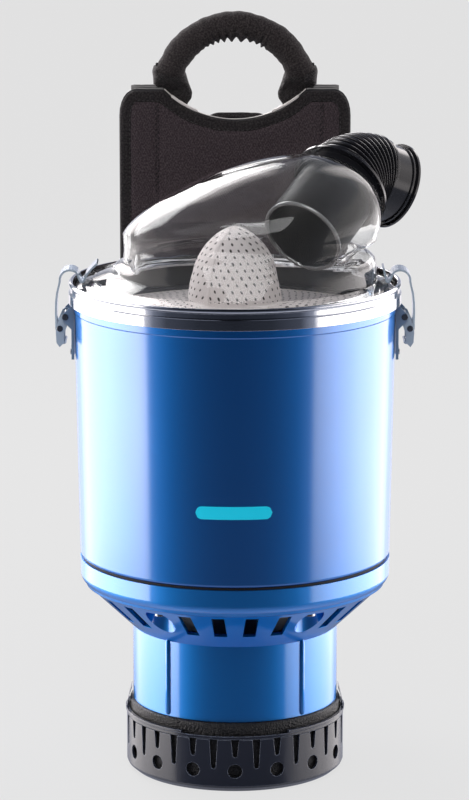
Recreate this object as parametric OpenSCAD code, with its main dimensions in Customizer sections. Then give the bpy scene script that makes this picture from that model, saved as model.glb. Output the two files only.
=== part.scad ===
// Backpack vacuum cleaner: slotted exhaust base, motor housing, canister, clear lid with a
// ribbed swivel inlet, two spring claw latches, cone filter and a padded carrying harness.
// The origin is the centre of the underside, +Z is up, the inlet leans to +X and the wearer's
// side is +Y.  All sizes are in millimetres.

/* [Exhaust base] */
// How far the slotted base cap stands out past the housing's drum
base_reach = 6; // [5:0.5:9]
// Height of the teeth above the floor
base_h = 49; // [44:1:54]
// Wall thickness of the base cap
base_wall = 2.2; // [1.8:0.1:3]
// Thickness of the base cap's floor
base_floor = 4; // [3:0.5:6]
// Bevel around the bottom edge
base_bevel = 5.5; // [3:0.5:8]
// Round drain holes around the cap
hole_count = 16; // [12:1:20]
// Diameter of a drain hole
hole_d = 13; // [8:0.5:14]
// Height of the row of drain holes
hole_z = 20; // [16:1:24]
// Width of a slot at the top of the teeth
slot_w = 7.4; // [5:0.2:9]
// Width of a slot at its rounded bottom
slot_bottom_w = 4.4; // [3:0.2:5]
// Lowest point of a long slot
long_slot_z = 22; // [18:1:28]
// Lowest point of a short slot
short_slot_z = 33; // [31:1:38]
// Gap between the teeth and the retainer lip
lip_gap = 3.2; // [2:0.2:6]
// Thickness of the retainer lip
lip_t = 2.8; // [2:0.2:4]
// Half angle of the raised lip on each side
lip_angle = 61; // [40:1:70]
// Height of the side clip tabs above the lip
tab_h = 19; // [14:1:26]
// Width of a side clip tab
tab_w = 18; // [14:1:24]
// Width of the foam ring
foam_w = 27; // [20:1:30]

/* [Motor housing] */
// Outer radius of the housing's drum
housing_r = 93.5; // [90:0.5:95]
// Height of the drum's lower edge
housing_z = 64; // [61:0.5:68]
// Height of the neck where the cone begins
neck_z = 134; // [125:1:140]
// How far the top of the cone lies inside the canister's side
cone_inset = 11.5; // [10:0.5:15]
// Height of the top of the cone
cone_z = 172; // [168:1:176]
// How far the rounded band at the seam lies inside the canister's top
band_inset = 4; // [1:0.5:5]
// Height of the seam under the canister
seam_z = 198; // [194:1:204]
// Wall thickness of the blue mouldings
shell = 3; // [2.5:0.1:4]
// Angle from one cooling vent to the next
vent_pitch = 13.4; // [13:0.1:14]
// Width of a cooling vent
vent_w = 11.5; // [8:0.5:13]
// Lower and upper height of the cooling vents
vent_z0 = 147; // [144:1:152]
vent_z1 = 169.5; // [160:0.5:170]
// Radius of a screw pocket
pocket_r = 13; // [11:0.5:14]
// Radius of the round ribs on the drum
rib_r = 2.6; // [1.5:0.1:4]

/* [Canister] */
// Outer radius at the top
can_r = 145; // [143:0.5:147]
// Height of the collar line
collar_z = 424; // [400:1:440]
// How far the collar stands proud
collar_step = 0.6; // [0.4:0.1:1]
// Height of the canister's top edge above the collar line
collar_h = 17; // [15:1:20]
// Wall thickness of the canister
can_wall = 2.5; // [2:0.1:3.5]
// Radius of the motor inlet in the floor
inlet_r = 42; // [36:1:48]
// Width of the black gap at the seam
seam_gap = 2; // [1:0.2:3]

/* [Rim and lid] */
// How far the aluminium rim stands proud of the canister
rim_proud = 5; // [4:0.5:7]
// Height of the rim band below the bead
rim_band = 9; // [7:0.5:10]
// Radius of the rolled bead
bead_r = 2.2; // [1.8:0.1:2.6]
// How far the lid's flange lies inside the canister's side
flange_inset = 1.4; // [0.6:0.1:2]
// Rise of the lid's flange from its edge to the skirt
flange_rise = 5.5; // [4.5:0.5:8]
// Width of the sloping flange outside the skirt
flange_w = 15.6; // [13:0.1:18]
// Height of the skirt above the flange
skirt_h = 22; // [18:1:26]
// Height of the clear dome above the rim
dome_h = 115; // [100:1:130]
// How far the dome's widest radius lies inside the skirt
dome_inset = 14; // [12:0.5:18]
// Sideways offset of the dome's widest section
dome_shift = 13.5; // [10:0.5:15]
// Depth of the dome as a share of its width
dome_depth = 0.82; // [0.78:0.01:0.9]
// Offset of the dome away from the harness
dome_forward = -10; // [-14:0.5:-6]
// Further sideways lean at the crown
dome_lean = 46; // [30:1:50]
// Wall thickness of the clear lid
lid_t = 3; // [2.5:0.1:4]
// Lid lift before it is carried away
lid_travel = 36; // [20:1:36]

/* [Hose inlet] */
// Compass direction of the inlet, from +X
inlet_az = 57.6; // [50:0.1:65]
// Upward angle of the inlet
inlet_el = 29.3; // [24:0.1:34]
// Outer radius of the inlet tube
tube_r = 37; // [34:0.5:38]
// Wall thickness of the inlet tube
tube_wall = 2.6; // [2:0.1:4]
// Length of the tube inside the dome
tube_in = 72; // [60:1:76]
// Outer radius of the ribs
rib_ro = 40; // [38.5:0.5:41]
// Number of ribs on the elbow
elbow_ribs = 11; // [8:1:14]
// Radius of the elbow's centre line
elbow_r = 42; // [42:1:50]
// Bend of the elbow
elbow_bend = 56; // [45:1:60]
// Inside radius of the hose socket
socket_r = 30; // [25:0.5:31]
// Depth of the hose socket
socket_len = 26; // [22:1:34]

/* [Cone filter] */
// Radius of the filter cone at its foot
filter_cone_r = 42; // [36:1:46]
// Height of the cone above its disc
filter_cone_h = 82; // [60:1:84]
// Height of the filter disc above the collar line
filter_drop = -3; // [-6:0.5:-2]
// Thickness of the filter cloth
cloth = 2.4; // [1.5:0.1:3]

/* [Latches] */
// Width of the spring claw
claw_w = 26; // [20:1:30]
// Thickness of the spring steel
claw_t = 1.8; // [1.2:0.1:2.2]
// Radius of the two latch pins
pin_r = 2; // [1.5:0.1:2.2]
// Running clearance of a pin
pin_gap = 0.05; // [0.02:0.01:0.08]
// Thickness of the lever's cheeks and the base's ears
cheek_t = 1.4; // [1:0.1:2]

/* [Harness] */
// Width of the harness board
board_w = 216; // [200:1:230]
// Height of the board's shoulders
board_top = 603; // [580:1:620]
// Height of the board's lower edge
board_bottom = 122; // [116:1:140]
// Thickness of the board
board_t = 3; // [2:0.5:4]
// Width of the notch under the handle
notch_w = 134; // [120:1:140]
// Depth of the notch under the handle
notch_d = 28; // [20:1:32]
// Thickness of the fabric panel
panel_t = 6; // [4:0.5:6.5]
// Gap between the rim and the fabric panel
panel_gap = 2.3; // [1.5:0.1:4]
// Thickness of the back pad
pad_t = 22; // [16:1:28]
// Radius of the carrying handle's centre line
handle_r = 64; // [58:1:66]
// Radius of the handle's padded sleeve
sleeve_r = 13; // [10:0.5:14]
// Height of the handle's centre above the board's shoulders
handle_drop = -4; // [-8:1:0]
// Width of a shoulder strap
strap_w = 52; // [40:1:56]
// Thickness of a shoulder strap
strap_t = 12; // [9:0.5:14]
// Height of the waist belt
belt_h = 76; // [60:1:84]

/* [Electrics] */
// Bore of the cable gland
gland_bore = 4.5; // [3.5:0.1:5.5]
// Length of the cable gland
gland_len = 18; // [14:1:22]
// Tilt of the switch rocker
rocker_tilt = 9; // [6:1:11]

/* [Hidden] */

$fn = 96;
eps = 1;
soft_gap = 0.3;
blue = [0.02, 0.22, 0.62];
black = [0.06, 0.06, 0.07];
cloth_black = [0.12, 0.11, 0.12];
steel = [0.75, 0.76, 0.78];
cream = [0.86, 0.82, 0.74];
clear = [0.8, 0.85, 0.88, 0.35];

// Radii and heights that follow from the sizes above
base_r = housing_r + base_reach;
foam_ri = base_r - base_wall - soft_gap - foam_w;
post_x = foam_ri - 12;
cone_r = can_r - cone_inset;
band_r = can_r - band_inset;
pocket_x = cone_r - 13.5;
rim_r = can_r + rim_proud;
flange_r = can_r - flange_inset;
skirt_r = flange_r - flange_w;
dome_r = skirt_r - dome_inset;
lip_z = base_h + lip_gap;
band_z = cone_z + 4;
can_floor_z = seam_z + seam_gap;
can_floor_t = 4;
can_r_foot = band_r;
can_top = collar_z + collar_h;
disc_z = collar_z + filter_drop;
ledge_t = 2;
rim_top = can_top + ledge_t + 8.2;
gasket_t = 2;
flange_z = can_top + ledge_t + gasket_t + 0.1;
flange_edge_t = 2.2;
skirt_z = flange_z + flange_edge_t + flange_rise;
board_y = rim_r + panel_gap + panel_t + soft_gap;
board_back = board_y + board_t;

// ---------------------------------------------------------------- helpers
module ring(ro, ri, h) {
    difference() {
        cylinder(r = ro, h = h);
        translate([0, 0, -eps]) cylinder(r = ri, h = h + 2 * eps);
    }
}

module around(angle, r) {
    rotate([0, 0, angle]) translate([r, 0, 0]) children();
}

// A prism drawn in the X-Z plane, centred on Y
module xz_prism(width) {
    rotate([90, 0, 0]) linear_extrude(width, center = true) children();
}

// A cylinder along Y
module y_rod(r, length, x, z) {
    translate([x, 0, z]) rotate([90, 0, 0]) cylinder(r = r, h = length, center = true, $fn = 32);
}

function arc(c, r, a0, a1, steps) =
    [for (i = [0:steps]) let (a = a0 + (a1 - a0) * i / steps) c + r * [cos(a), sin(a)]];

function unit(v) = v / norm(v);

// Left-hand normal of an open path at point i
function path_normal(p, i) =
    let (a = p[max(i - 1, 0)], b = p[min(i + 1, len(p) - 1)], d = unit(b - a)) [-d[1], d[0]];

// Outline of a strip of even thickness that follows a path
function ribbon(p, t) = concat(
    [for (i = [0:len(p) - 1]) p[i] + path_normal(p, i) * t / 2],
    [for (i = [len(p) - 1:-1:0]) p[i] - path_normal(p, i) * t / 2]);

// Triangles between a stack of equal rings of n points
function loft_sides(rings, n) = concat(
    [for (k = [0:rings - 2], i = [0:n - 1]) [k * n + i, (k + 1) * n + i, k * n + (i + 1) % n]],
    [for (k = [0:rings - 2], i = [0:n - 1])
        [k * n + (i + 1) % n, (k + 1) * n + i, (k + 1) * n + (i + 1) % n]]);

// The same with a flat fan over each end
function loft_faces(rings, n) = concat(loft_sides(rings, n),
    [for (i = [1:n - 2]) [0, i, i + 1]],
    [for (i = [1:n - 2]) let (b = (rings - 1) * n) [b, b + i + 1, b + i]]);

// The same with ends closed across, for a ring that runs out along its face and back
function pad_faces(rings, n) = concat(loft_sides(rings, n),
    [for (k = [0, rings - 1], i = [0:n / 2 - 2], half = [0, 1])
        let (b = k * n, p = half == 0 ? [i, i + 1, n - 2 - i] : [i, n - 2 - i, n - 1 - i])
            k == 0 ? [b + p[0], b + p[1], b + p[2]] : [b + p[0], b + p[2], b + p[1]]]);

function flipped(faces) = [for (f = faces) [f[0], f[2], f[1]]];

// ---------------------------------------------------------------- exhaust base
module slot_outline(low_z) {
    half_top = slot_w / 2;
    half_low = slot_bottom_w / 2;
    translate([0, low_z + half_low]) circle(r = half_low, $fn = 24);
    polygon([[-half_low, low_z + half_low], [half_low, low_z + half_low],
        [half_top, base_h + eps], [-half_top, base_h + eps]]);
}

module base_cap() {
    inner_r = base_r - base_wall;
    step = 180 / hole_count;
    color(black) {
        difference() {
            rotate_extrude() polygon([[0, 0], [base_r - base_bevel, 0],
                [base_r - 1, base_bevel * 0.7], [base_r, base_bevel + 0.5], [base_r, base_h],
                [inner_r, base_h], [inner_r, base_floor], [0, base_floor]]);
            for (i = [0:2 * hole_count - 1])
                around(-90 + i * step, inner_r - eps) rotate([90, 0, 90])
                    linear_extrude(base_wall + 2 * eps)
                        slot_outline(i % 2 == 0 ? short_slot_z : long_slot_z);
            for (i = [0:hole_count - 1])
                around(-90 + 2 * i * step, inner_r - eps) translate([0, 0, hole_z])
                    rotate([0, 90, 0]) cylinder(r = hole_d / 2, h = base_wall + 2 * eps, $fn = 32);
        }
        for (a = [45:90:315])
            around(a, post_x) translate([0, 0, base_floor - 1])
                cylinder(r = 6, h = housing_z - base_floor + 1);
    }
}
module exhaust_filter() {
    color([0.09, 0.09, 0.09]) translate([0, 0, base_floor])
        ring(base_r - base_wall - soft_gap, foam_ri, housing_z - base_floor - soft_gap);
}

// The lip is a full ring that steps out and up at the two sides, with flat wings that
// reach in over the filter and tabs that clip to the housing.
module base_retainer() {
    ring_ri = base_r - base_wall;
    tab_foot = lip_z + lip_t;
    color(black) {
        translate([0, 0, base_h + 0.6]) ring(base_r, ring_ri, lip_gap - 0.6);
        for (side = [0, 180]) rotate([0, 0, side - lip_angle]) {
            rotate_extrude(angle = 2 * lip_angle)
                polygon([[ring_ri, lip_z], [base_r, lip_z], [base_r + 1, lip_z + 0.8],
                    [base_r + 1, lip_z + lip_t], [ring_ri, lip_z + lip_t]]);
            rotate([0, 0, lip_angle]) xz_prism(tab_w)
                polygon([[ring_ri + 0.2, lip_z], [base_r + 0.4, lip_z], [base_r - 0.9, tab_foot + 5],
                    [housing_r + 2.2, tab_foot + tab_h - 2], [housing_r + 1.4, tab_foot + tab_h],
                    [housing_r + 1.1, tab_foot + tab_h - 1], [ring_ri + 0.2, housing_z]]);
        }
    }
}

// ---------------------------------------------------------------- motor housing
// Outline of the housing's outer face, from the drum's foot to the seam
function housing_outline(inset) = concat(
    [[housing_r - inset, housing_z], [housing_r - inset, neck_z - inset * 0.4],
     [housing_r + 1.2 - inset, neck_z + 1 - inset * 0.4],
     [cone_r - inset, cone_z - inset * 0.4], [cone_r + 3 - inset, cone_z + 1.5 - inset * 0.4]],
    arc([band_r - 8 - inset, band_z + 7], 8, -58, 0, 6),
    [[band_r - inset, seam_z]]);

module housing_solid(inset) {
    rotate_extrude() polygon(concat([[0, housing_z]], housing_outline(inset), [[0, seam_z]]));
}

vent_slots = [for (k = [0.5, 1.5, 3.5, 4.5, 5.5]) for (s = [-1, 1]) for (face = [-90, 90])
    face + s * k * vent_pitch];
pocket_angles = [for (s = [-1, 1]) for (face = [-90, 90]) face + s * 2.5 * vent_pitch];
rib_angles = [for (s = [-1, 1]) for (face = [-90, 90]) face + s * 3 * vent_pitch];
slope = atan((cone_r - housing_r) / (cone_z - neck_z));

module vent_cutter() {
    length = (vent_z1 - vent_z0) / cos(slope);
    mid_z = (vent_z0 + vent_z1) / 2;
    mid_r = housing_r + (mid_z - neck_z) * tan(slope);
    translate([mid_r, 0, mid_z]) rotate([0, slope, 0])
        cube([16, vent_w, length], center = true);
}

deck_t = 3;
module motor_housing() {
    color(blue) difference() {
        union() {
            difference() {
                housing_solid(0);
                translate([0, 0, deck_t]) housing_cavity();
            }
            intersection() {
                housing_solid(0);
                for (a = pocket_angles) around(a, pocket_x)
                    translate([0, 0, neck_z - 20]) cylinder(r = pocket_r + 2.4, h = seam_z - neck_z);
            }
            for (a = rib_angles) around(a, housing_r - 0.6)
                translate([0, 0, housing_z + 1]) cylinder(r = rib_r, h = neck_z - housing_z, $fn = 32);
            for (a = pocket_angles) around(a, pocket_x)
                translate([0, 0, cone_z]) cylinder(r = 7, h = seam_z - cone_z);
        }
        for (a = vent_slots) rotate([0, 0, a]) vent_cutter();
        for (a = pocket_angles) around(a, pocket_x) {
            translate([0, 0, neck_z - 30]) cylinder(r = pocket_r, h = cone_z - neck_z + 27);
            cylinder(r = screw_r + 0.2, h = seam_z + eps, $fn = 32);
        }
        for (a = [22.5:45:337.5]) around(a, housing_r - 17.5)
            translate([0, 0, housing_z - eps]) cylinder(r = 11, h = deck_t + 2 * eps, $fn = 48);
        rotate([0, 0, gland_az]) translate([housing_r, 0, gland_z]) rotate([0, 90, 0]) {
            translate([0, 0, -8]) cylinder(r = gland_r, h = 20);
            translate([0, 0, -flat_depth]) cylinder(r = gland_r + 3.4, h = 20);
        }
        on_switch() {
            cube([20, switch_w + 2, switch_h + 2], center = true);
            translate([10 - flat_depth, 0, 0]) cube([20, switch_w + 7.4, switch_h + 7.4], center = true);
        }
    }
}

module housing_cavity() {
    rotate_extrude() polygon(concat([[0, housing_z]], housing_outline(shell),
        [[band_r - shell, seam_z + eps], [0, seam_z + eps]]));
}

screw_r = 2.4;
module housing_screws() {
    head_h = 3.6;
    top = cone_z - 3;
    color(steel) for (a = pocket_angles) around(a, pocket_x) {
        translate([0, 0, top - head_h]) difference() {
            cylinder(r = 5.6, h = head_h, $fn = 48);
            translate([0, 0, -eps]) cylinder(r = 2.4, h = 2 + eps, $fn = 6);
        }
        translate([0, 0, top]) cylinder(r = screw_r, h = can_floor_z + 8 - top, $fn = 32);
    }
}

// ---------------------------------------------------------------- motor
mount_z = housing_z + deck_t;
mount_h = 5;
frame_r = 46;
frame_wall = 2.5;
frame_z = mount_z + mount_h;
case_r = 72;
gasket_h = 6;
case_top = seam_z - gasket_h;
case_h = 52;
case_z = case_top - case_h;
shaft_r = 4;
bearing_r = 11;
bearing_h = 7;

module motor_mount() {
    color(black) translate([0, 0, mount_z]) ring(frame_r + 4, 34, mount_h);
}

module motor_frame() {
    h = case_z - frame_z;
    color([0.5, 0.5, 0.52]) translate([0, 0, frame_z]) difference() {
        cylinder(r = frame_r, h = h);
        translate([0, 0, bearing_h + 2]) cylinder(r = frame_r - frame_wall, h = h);
        translate([0, 0, 2]) cylinder(r = bearing_r, h = h);
        translate([0, 0, -eps]) cylinder(r = shaft_r + 2, h = h);
        for (a = [45:90:315]) around(a, frame_r)
            translate([0, 0, h - 9]) cube([20, 26, 10], center = true);
        for (a = [45:90:315]) around(a, 28)
            translate([0, 0, -eps]) cylinder(r = 8, h = bearing_h + 4, $fn = 32);
    }
}

stator_z = frame_z + 24;
stator_h = 24;
module motor_stator() {
    color([0.55, 0.3, 0.15]) translate([0, 0, stator_z])
        ring(frame_r - frame_wall, armature_r + 1.5, stator_h);
}

armature_r = 24;
module armature() {
    color([0.6, 0.35, 0.15]) {
        translate([0, 0, stator_z]) ring(armature_r, shaft_r + pin_gap, stator_h);
        translate([0, 0, frame_z + bearing_h + 4]) ring(commutator_r, shaft_r + pin_gap, 9);
    }
}
commutator_r = 13;

module brush_holders() {
    x0 = commutator_r + 0.4;
    x1 = frame_r - frame_wall - pin_gap;
    color("goldenrod") for (a = [0, 180]) rotate([0, 0, a])
        translate([x0, -4, frame_z + bearing_h + 4.5]) intersection() {
            cube([x1 - x0, 8, 8]);
            translate([-x0, 4, -eps]) cylinder(r = x1, h = 12);
        }
}

module motor_bearings() {
    color(steel) {
        translate([0, 0, frame_z + 2]) ring(bearing_r, shaft_r + pin_gap, bearing_h);
        translate([0, 0, case_z]) ring(bearing_r, shaft_r + pin_gap, bearing_h);
    }
}

module rotor_shaft() {
    color(steel) translate([0, 0, frame_z + 1]) cylinder(r = shaft_r, h = case_top - frame_z - 8);
}

module fan_case() {
    wall = 2.5;
    color([0.62, 0.63, 0.65]) translate([0, 0, case_z]) difference() {
        cylinder(r = case_r, h = case_h);
        translate([0, 0, bearing_h]) cylinder(r = case_r - wall, h = case_h - bearing_h - wall);
        translate([0, 0, -eps]) cylinder(r = bearing_r, h = bearing_h + 2 * eps);
        translate([0, 0, case_h - wall - eps]) cylinder(r = 24, h = wall + 2 * eps);
        for (a = [0:30:330]) around(a, 58)
            translate([0, 0, -eps]) cylinder(r = 6, h = bearing_h + 2 * eps, $fn = 32);
    }
}

module impeller() {
    r = case_r - 9;
    z = case_z + bearing_h + 12;
    blade_h = 16;
    hub_r = 11;
    color([0.7, 0.7, 0.72]) {
        translate([0, 0, z]) ring(r, shaft_r + pin_gap, 1.5);
        translate([0, 0, z + 1.5]) ring(hub_r, shaft_r + pin_gap, blade_h);
        translate([0, 0, z + 1.5 + blade_h]) ring(r, 26, 1.5);
        for (a = [0:40:320]) rotate([0, 0, a]) translate([0, 0, z + 1.5])
            linear_extrude(blade_h) polygon(ribbon([for (i = [0:6])
                (hub_r - 0.8 + (r - hub_r) * i / 6) * [cos(-9 * i), sin(-9 * i)]], 1.2));
    }
}

module motor_gasket() {
    color(black) translate([0, 0, case_top]) ring(case_r, 56, gasket_h);
}

module canister_seal() {
    color(black) translate([0, 0, seam_z]) difference() {
        ring(band_r - 2, inlet_r + 8, seam_gap);
        for (a = pocket_angles) around(a, pocket_x)
            translate([0, 0, -eps]) cylinder(r = screw_r + 0.2, h = seam_gap + 2 * eps, $fn = 32);
    }
}

module motor_grille() {
    h = 3;
    color(black) translate([0, 0, can_floor_z + can_floor_t]) {
        ring(inlet_r + 6, inlet_r - 4, h);
        for (a = [0:45:135]) rotate([0, 0, a])
            translate([0, 0, h / 2]) cube([2 * inlet_r - 6, 3, h], center = true);
        for (r = [12, 26]) ring(r, r - 2.4, h);
    }
}

// ---------------------------------------------------------------- canister
module canister() {
    z0 = can_floor_z;
    ledge_r = filter_ring_r - 3;
    ledge_z = disc_z - ring_h;
    in_top = can_r - can_wall;
    color(blue) difference() {
        union() {
            rotate_extrude() polygon(concat(
                [[inlet_r, z0]], arc([can_r_foot - 3, z0 + 3], 3, -90, 0, 5),
                [[can_r, collar_z], [can_r + collar_step, collar_z + 1],
                 [can_r + collar_step, can_top], [in_top, can_top],
                 [in_top, ledge_z], [ledge_r, ledge_z], [ledge_r, ledge_z - 2],
                 [in_top - 0.2, ledge_z - 8],
                 [can_r_foot - can_wall, z0 + can_floor_t + 4],
                 [can_r_foot - can_wall - 4, z0 + can_floor_t], [inlet_r, z0 + can_floor_t]]));
            for (a = pocket_angles) around(a, pocket_x)
                translate([0, 0, z0 + 1]) cylinder(r = 7, h = can_floor_t + 6);
        }
        for (a = pocket_angles) around(a, pocket_x)
            translate([0, 0, z0 - eps]) cylinder(r = screw_r + 0.05, h = 8.5 + eps, $fn = 32);
    }
}

// ---------------------------------------------------------------- rim
rim_in = can_r + collar_step + 0.3;
ledge_in = flange_r - 6.5;
module rim_ring() {
    low = can_top - rim_band;
    groove_z = can_top;
    neck_r = rim_r - 1.6;
    bead_z = rim_top - bead_r;
    color([0.86, 0.87, 0.88]) rotate_extrude() polygon(concat(
        [[rim_in, low], [rim_r, low], [rim_r, groove_z], [neck_r, groove_z + 1.4],
         [neck_r, bead_z - bead_r - 0.4]],
        arc([rim_r - bead_r, bead_z], bead_r, -40, 180, 10),
        [[rim_r - 2 * bead_r, bead_z - 1], [rim_r - 2 * bead_r - 0.6, can_top + ledge_t],
         [ledge_in, can_top + ledge_t], [ledge_in, can_top], [rim_in, can_top]]));
}

module lid_gasket() {
    color(black) translate([0, 0, can_top + ledge_t + 0.1])
        ring(flange_r - 0.4, ledge_in + 0.6, gasket_t);
}

// ---------------------------------------------------------------- clear lid
// Each section of the lid is [height, sideways offset, radius, tilt, forward offset, depth]
dome_z = skirt_z + skirt_h;
widest_z = dome_z + 20;
crown_z = flange_z + dome_h + 6;
shoulder_tilt = 0.05;
ledge_h = 2.2;
function bulge(u) = [widest_z + (crown_z - widest_z) * u, dome_shift + dome_lean * pow(u, 1.1),
    dome_r * pow(1 - pow(u, 1.7), 0.55), 0, dome_forward, dome_depth];
neck_section = [dome_z - 1.5, dome_shift * 0.42, dome_r - 13, shoulder_tilt * 0.9,
    dome_forward / 2, 0.9];
skirt_sections = [[flange_z + ledge_h + soft_gap, 0, skirt_r, 0, 0, 1], [skirt_z, 0, skirt_r, 0, 0, 1],
    [dome_z - 9, dome_shift * 0.53, skirt_r - 9.4, shoulder_tilt, 0, 0.98],
    [dome_z - 6, dome_shift * 0.52, skirt_r - 12, shoulder_tilt, 0, 0.97], neck_section];
dome_sections = concat([neck_section,
    [dome_z + 4, dome_shift * 0.4, dome_r - 14, shoulder_tilt * 0.4, dome_forward, dome_depth],
    [dome_z + 8, dome_shift * 0.7, dome_r - 7.5, 0, dome_forward, dome_depth],
    [dome_z + 11, dome_shift * 0.9, dome_r - 3, 0, dome_forward, dome_depth],
    [dome_z + 15.5, dome_shift, dome_r - 0.4, 0, dome_forward, dome_depth]],
    [for (u = [0, 0.16, 0.32, 0.48, 0.62, 0.75, 0.86, 0.94, 0.985]) bulge(u)]);
lid_sides = 56;

function raised(section, by) = concat([section[0] + by], [for (i = [1:5]) section[i]]);

module lid_loft(sections, inset) {
    points = [for (s = sections) let (r = max(s[2] - inset, 2))
        for (i = [0:lid_sides - 1]) let (a = 360 * i / lid_sides)
            [s[1] + r * cos(a), s[4] + max(s[2] * s[5] - inset, 2) * sin(a),
             s[0] + s[3] * (s[1] + s[2] * cos(a))
                 - (s[0] > widest_z ? inset * (s[0] - widest_z) / (crown_z - widest_z) : 0)]];
    polyhedron(points, loft_faces(len(sections), lid_sides));
}

// The inlet's axis: everything on it is drawn with +Z along the axis, from its seat
inlet_dir = [cos(inlet_az) * cos(inlet_el), sin(inlet_az) * cos(inlet_el), sin(inlet_el)];
seat = [dome_shift + dome_r - 33, 28, flange_z + dome_h - 29.5];
module on_inlet() {
    translate(seat) rotate([0, 90 - inlet_el, inlet_az]) children();
}

// The flange is a ring with a rebate that the skirt is bonded into
module lid_flange() {
    bore = skirt_r + soft_gap;
    lip = skirt_r - lid_t - 0.4;
    color(clear) rotate_extrude() polygon([[lip, flange_z], [flange_r, flange_z],
        [flange_r, flange_z + flange_edge_t], [bore, skirt_z], [bore, flange_z + ledge_h],
        [lip, flange_z + ledge_h]]);
}

module lid_skirt() {
    inner = concat([raised(skirt_sections[0], -6)], skirt_sections, [raised(neck_section, 6)]);
    color(clear) difference() {
        lid_loft(skirt_sections, 0);
        lid_loft(inner, lid_t);
    }
}

module dome_lid() {
    color(clear) difference() {
        intersection() {
            lid_loft(dome_sections, 0);
            seat_side(0);
        }
        intersection() {
            lid_loft(concat([raised(neck_section, -6)], dome_sections), lid_t);
            seat_side(-lid_t);
        }
        on_inlet() translate([0, 0, -40]) cylinder(r = collar_r + soft_gap, h = 60);
    }
}

// Everything behind the flat that the inlet sits on, and all of the dome's neck
module seat_side(level) {
    size = 400;
    on_inlet() translate([-size / 2, -size / 2, level - size]) cube(size);
    translate([-size / 2, -size / 2, flange_z - 10]) cube([size, size, dome_z - flange_z + 12]);
}

// ---------------------------------------------------------------- hose inlet
seat_r = tube_r + 9;
collar_r = tube_r + 3;
module inlet_socket() {
    color(black) on_inlet() {
        difference() {
            union() {
                translate([0, 0, -lid_t - 3]) cylinder(r = collar_r, h = lid_t + 5.5);
                cylinder(r = seat_r, h = 2.5);
            }
            translate([0, 0, -20]) cylinder(r = tube_r + pin_gap, h = 40);
        }
    }
}

cuff_gap = 0.4;
cuff_start = 2.5 + cuff_gap;
module inlet_tube() {
    color(black) on_inlet() difference() {
        union() {
            translate([0, 0, -tube_in]) cylinder(r = tube_r, h = tube_in + cuff_start);
            translate([0, 0, -tube_in]) cylinder(r = tube_r + 0.8, h = 4);
            translate([0, 0, -lid_t - 6.6]) cylinder(r = collar_r, h = 3.2);
        }
        translate([0, 0, -tube_in - eps]) cylinder(r = tube_r - tube_wall, h = tube_in + 12);
    }
}

// The elbow bends about an axis beside the inlet, turned so that it falls to the right
elbow_turn = -29;
module on_elbow() {
    on_inlet() translate([0, 0, cuff_start]) rotate([0, 0, elbow_turn])
        translate([elbow_r, 0, 0]) rotate([90, 0, 0]) rotate([0, 0, 180]) children();
}

module hose_cuff() {
    pitch = elbow_bend / elbow_ribs;
    core_r = tube_r - 0.6;
    color(black) on_elbow() {
        difference() {
            union() {
                elbow_piece(core_r, 0, elbow_bend);
                for (i = [0:elbow_ribs - 1]) elbow_piece(rib_ro, i * pitch + 0.02 * pitch, pitch * 0.52);
            }
            elbow_piece(tube_r - tube_wall, -1, elbow_bend + 2);
        }
    }
}

module elbow_piece(r, from, sweep) {
    rotate([0, 0, -from - sweep]) rotate_extrude(angle = sweep) translate([elbow_r, 0]) circle(r = r);
}

module hose_collar() {
    color(black) on_elbow() rotate([0, 0, -elbow_bend]) translate([elbow_r, 0, 0])
        rotate([90, 0, 0]) difference() {
            union() {
                cylinder(r = tube_r - 1, h = socket_len);
                translate([0, 0, 0]) cylinder(r = rib_ro - 1.5, h = 2.5);
                translate([0, 0, socket_len - 6]) cylinder(r = tube_r + 0.5, h = 2);
                translate([0, 0, socket_len - 2.2]) cylinder(r = tube_r + 2.5, h = 2.2);
            }
            translate([0, 0, -eps]) cylinder(r = socket_r, h = socket_len + 2 * eps);
        }
}

// ---------------------------------------------------------------- cone filter
ring_h = 6;
filter_ring_r = can_r - can_wall - 1;
disc_r = filter_ring_r - 10;

module filter_ring() {
    color(black) translate([0, 0, disc_z - ring_h]) {
        ring(filter_ring_r, disc_r, ring_h + 2);
        difference() {
            ring(disc_r, filter_cone_r - 5, 3);
            for (a = [0:45:315]) around(a + 22.5, (disc_r + filter_cone_r) / 2 - 1)
                translate([0, 0, -eps]) cylinder(r = 27, h = 3 + 2 * eps);
        }
    }
}

// Bullet outline of the cone from its foot to its tip
function bullet(r, h) = concat([for (i = [0:12]) let (t = i / 12)
    [max(r * pow(1 - pow(t, 2.6), 0.62), 1.2), h * t]], [[0, h]]);

module filter_cone() {
    z = disc_z - ring_h + 3 + 0.2;
    tip = filter_cone_h;
    color(cream) translate([0, 0, z]) difference() {
        union() {
            cylinder(r = disc_r - soft_gap, h = cloth);
            rotate_extrude() polygon(concat([[0, 0]], bullet(filter_cone_r, tip)));
        }
        translate([0, 0, -eps]) rotate_extrude() polygon(concat([[0, 0]],
            bullet(filter_cone_r - cloth, tip + eps - cloth)));
    }
}

module filter_frame() {
    z = disc_z - ring_h + 3;
    r = filter_cone_r - cloth - 1;
    tip = filter_cone_h - cloth - 2;
    color(black) translate([0, 0, z]) difference() {
        rotate_extrude() polygon(concat([[0, 0]], bullet(r, tip)));
        translate([0, 0, -eps]) rotate_extrude() polygon(concat([[0, 0]], bullet(r - 2, tip - 2 + eps)));
        for (a = [0:60:300]) rotate([0, 0, a]) for (k = [0:2])
            translate([0, -9 + 2 * k, 5 + k * 22]) cube([r + 5, 18 - 4 * k, 17]);
    }
}

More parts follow.
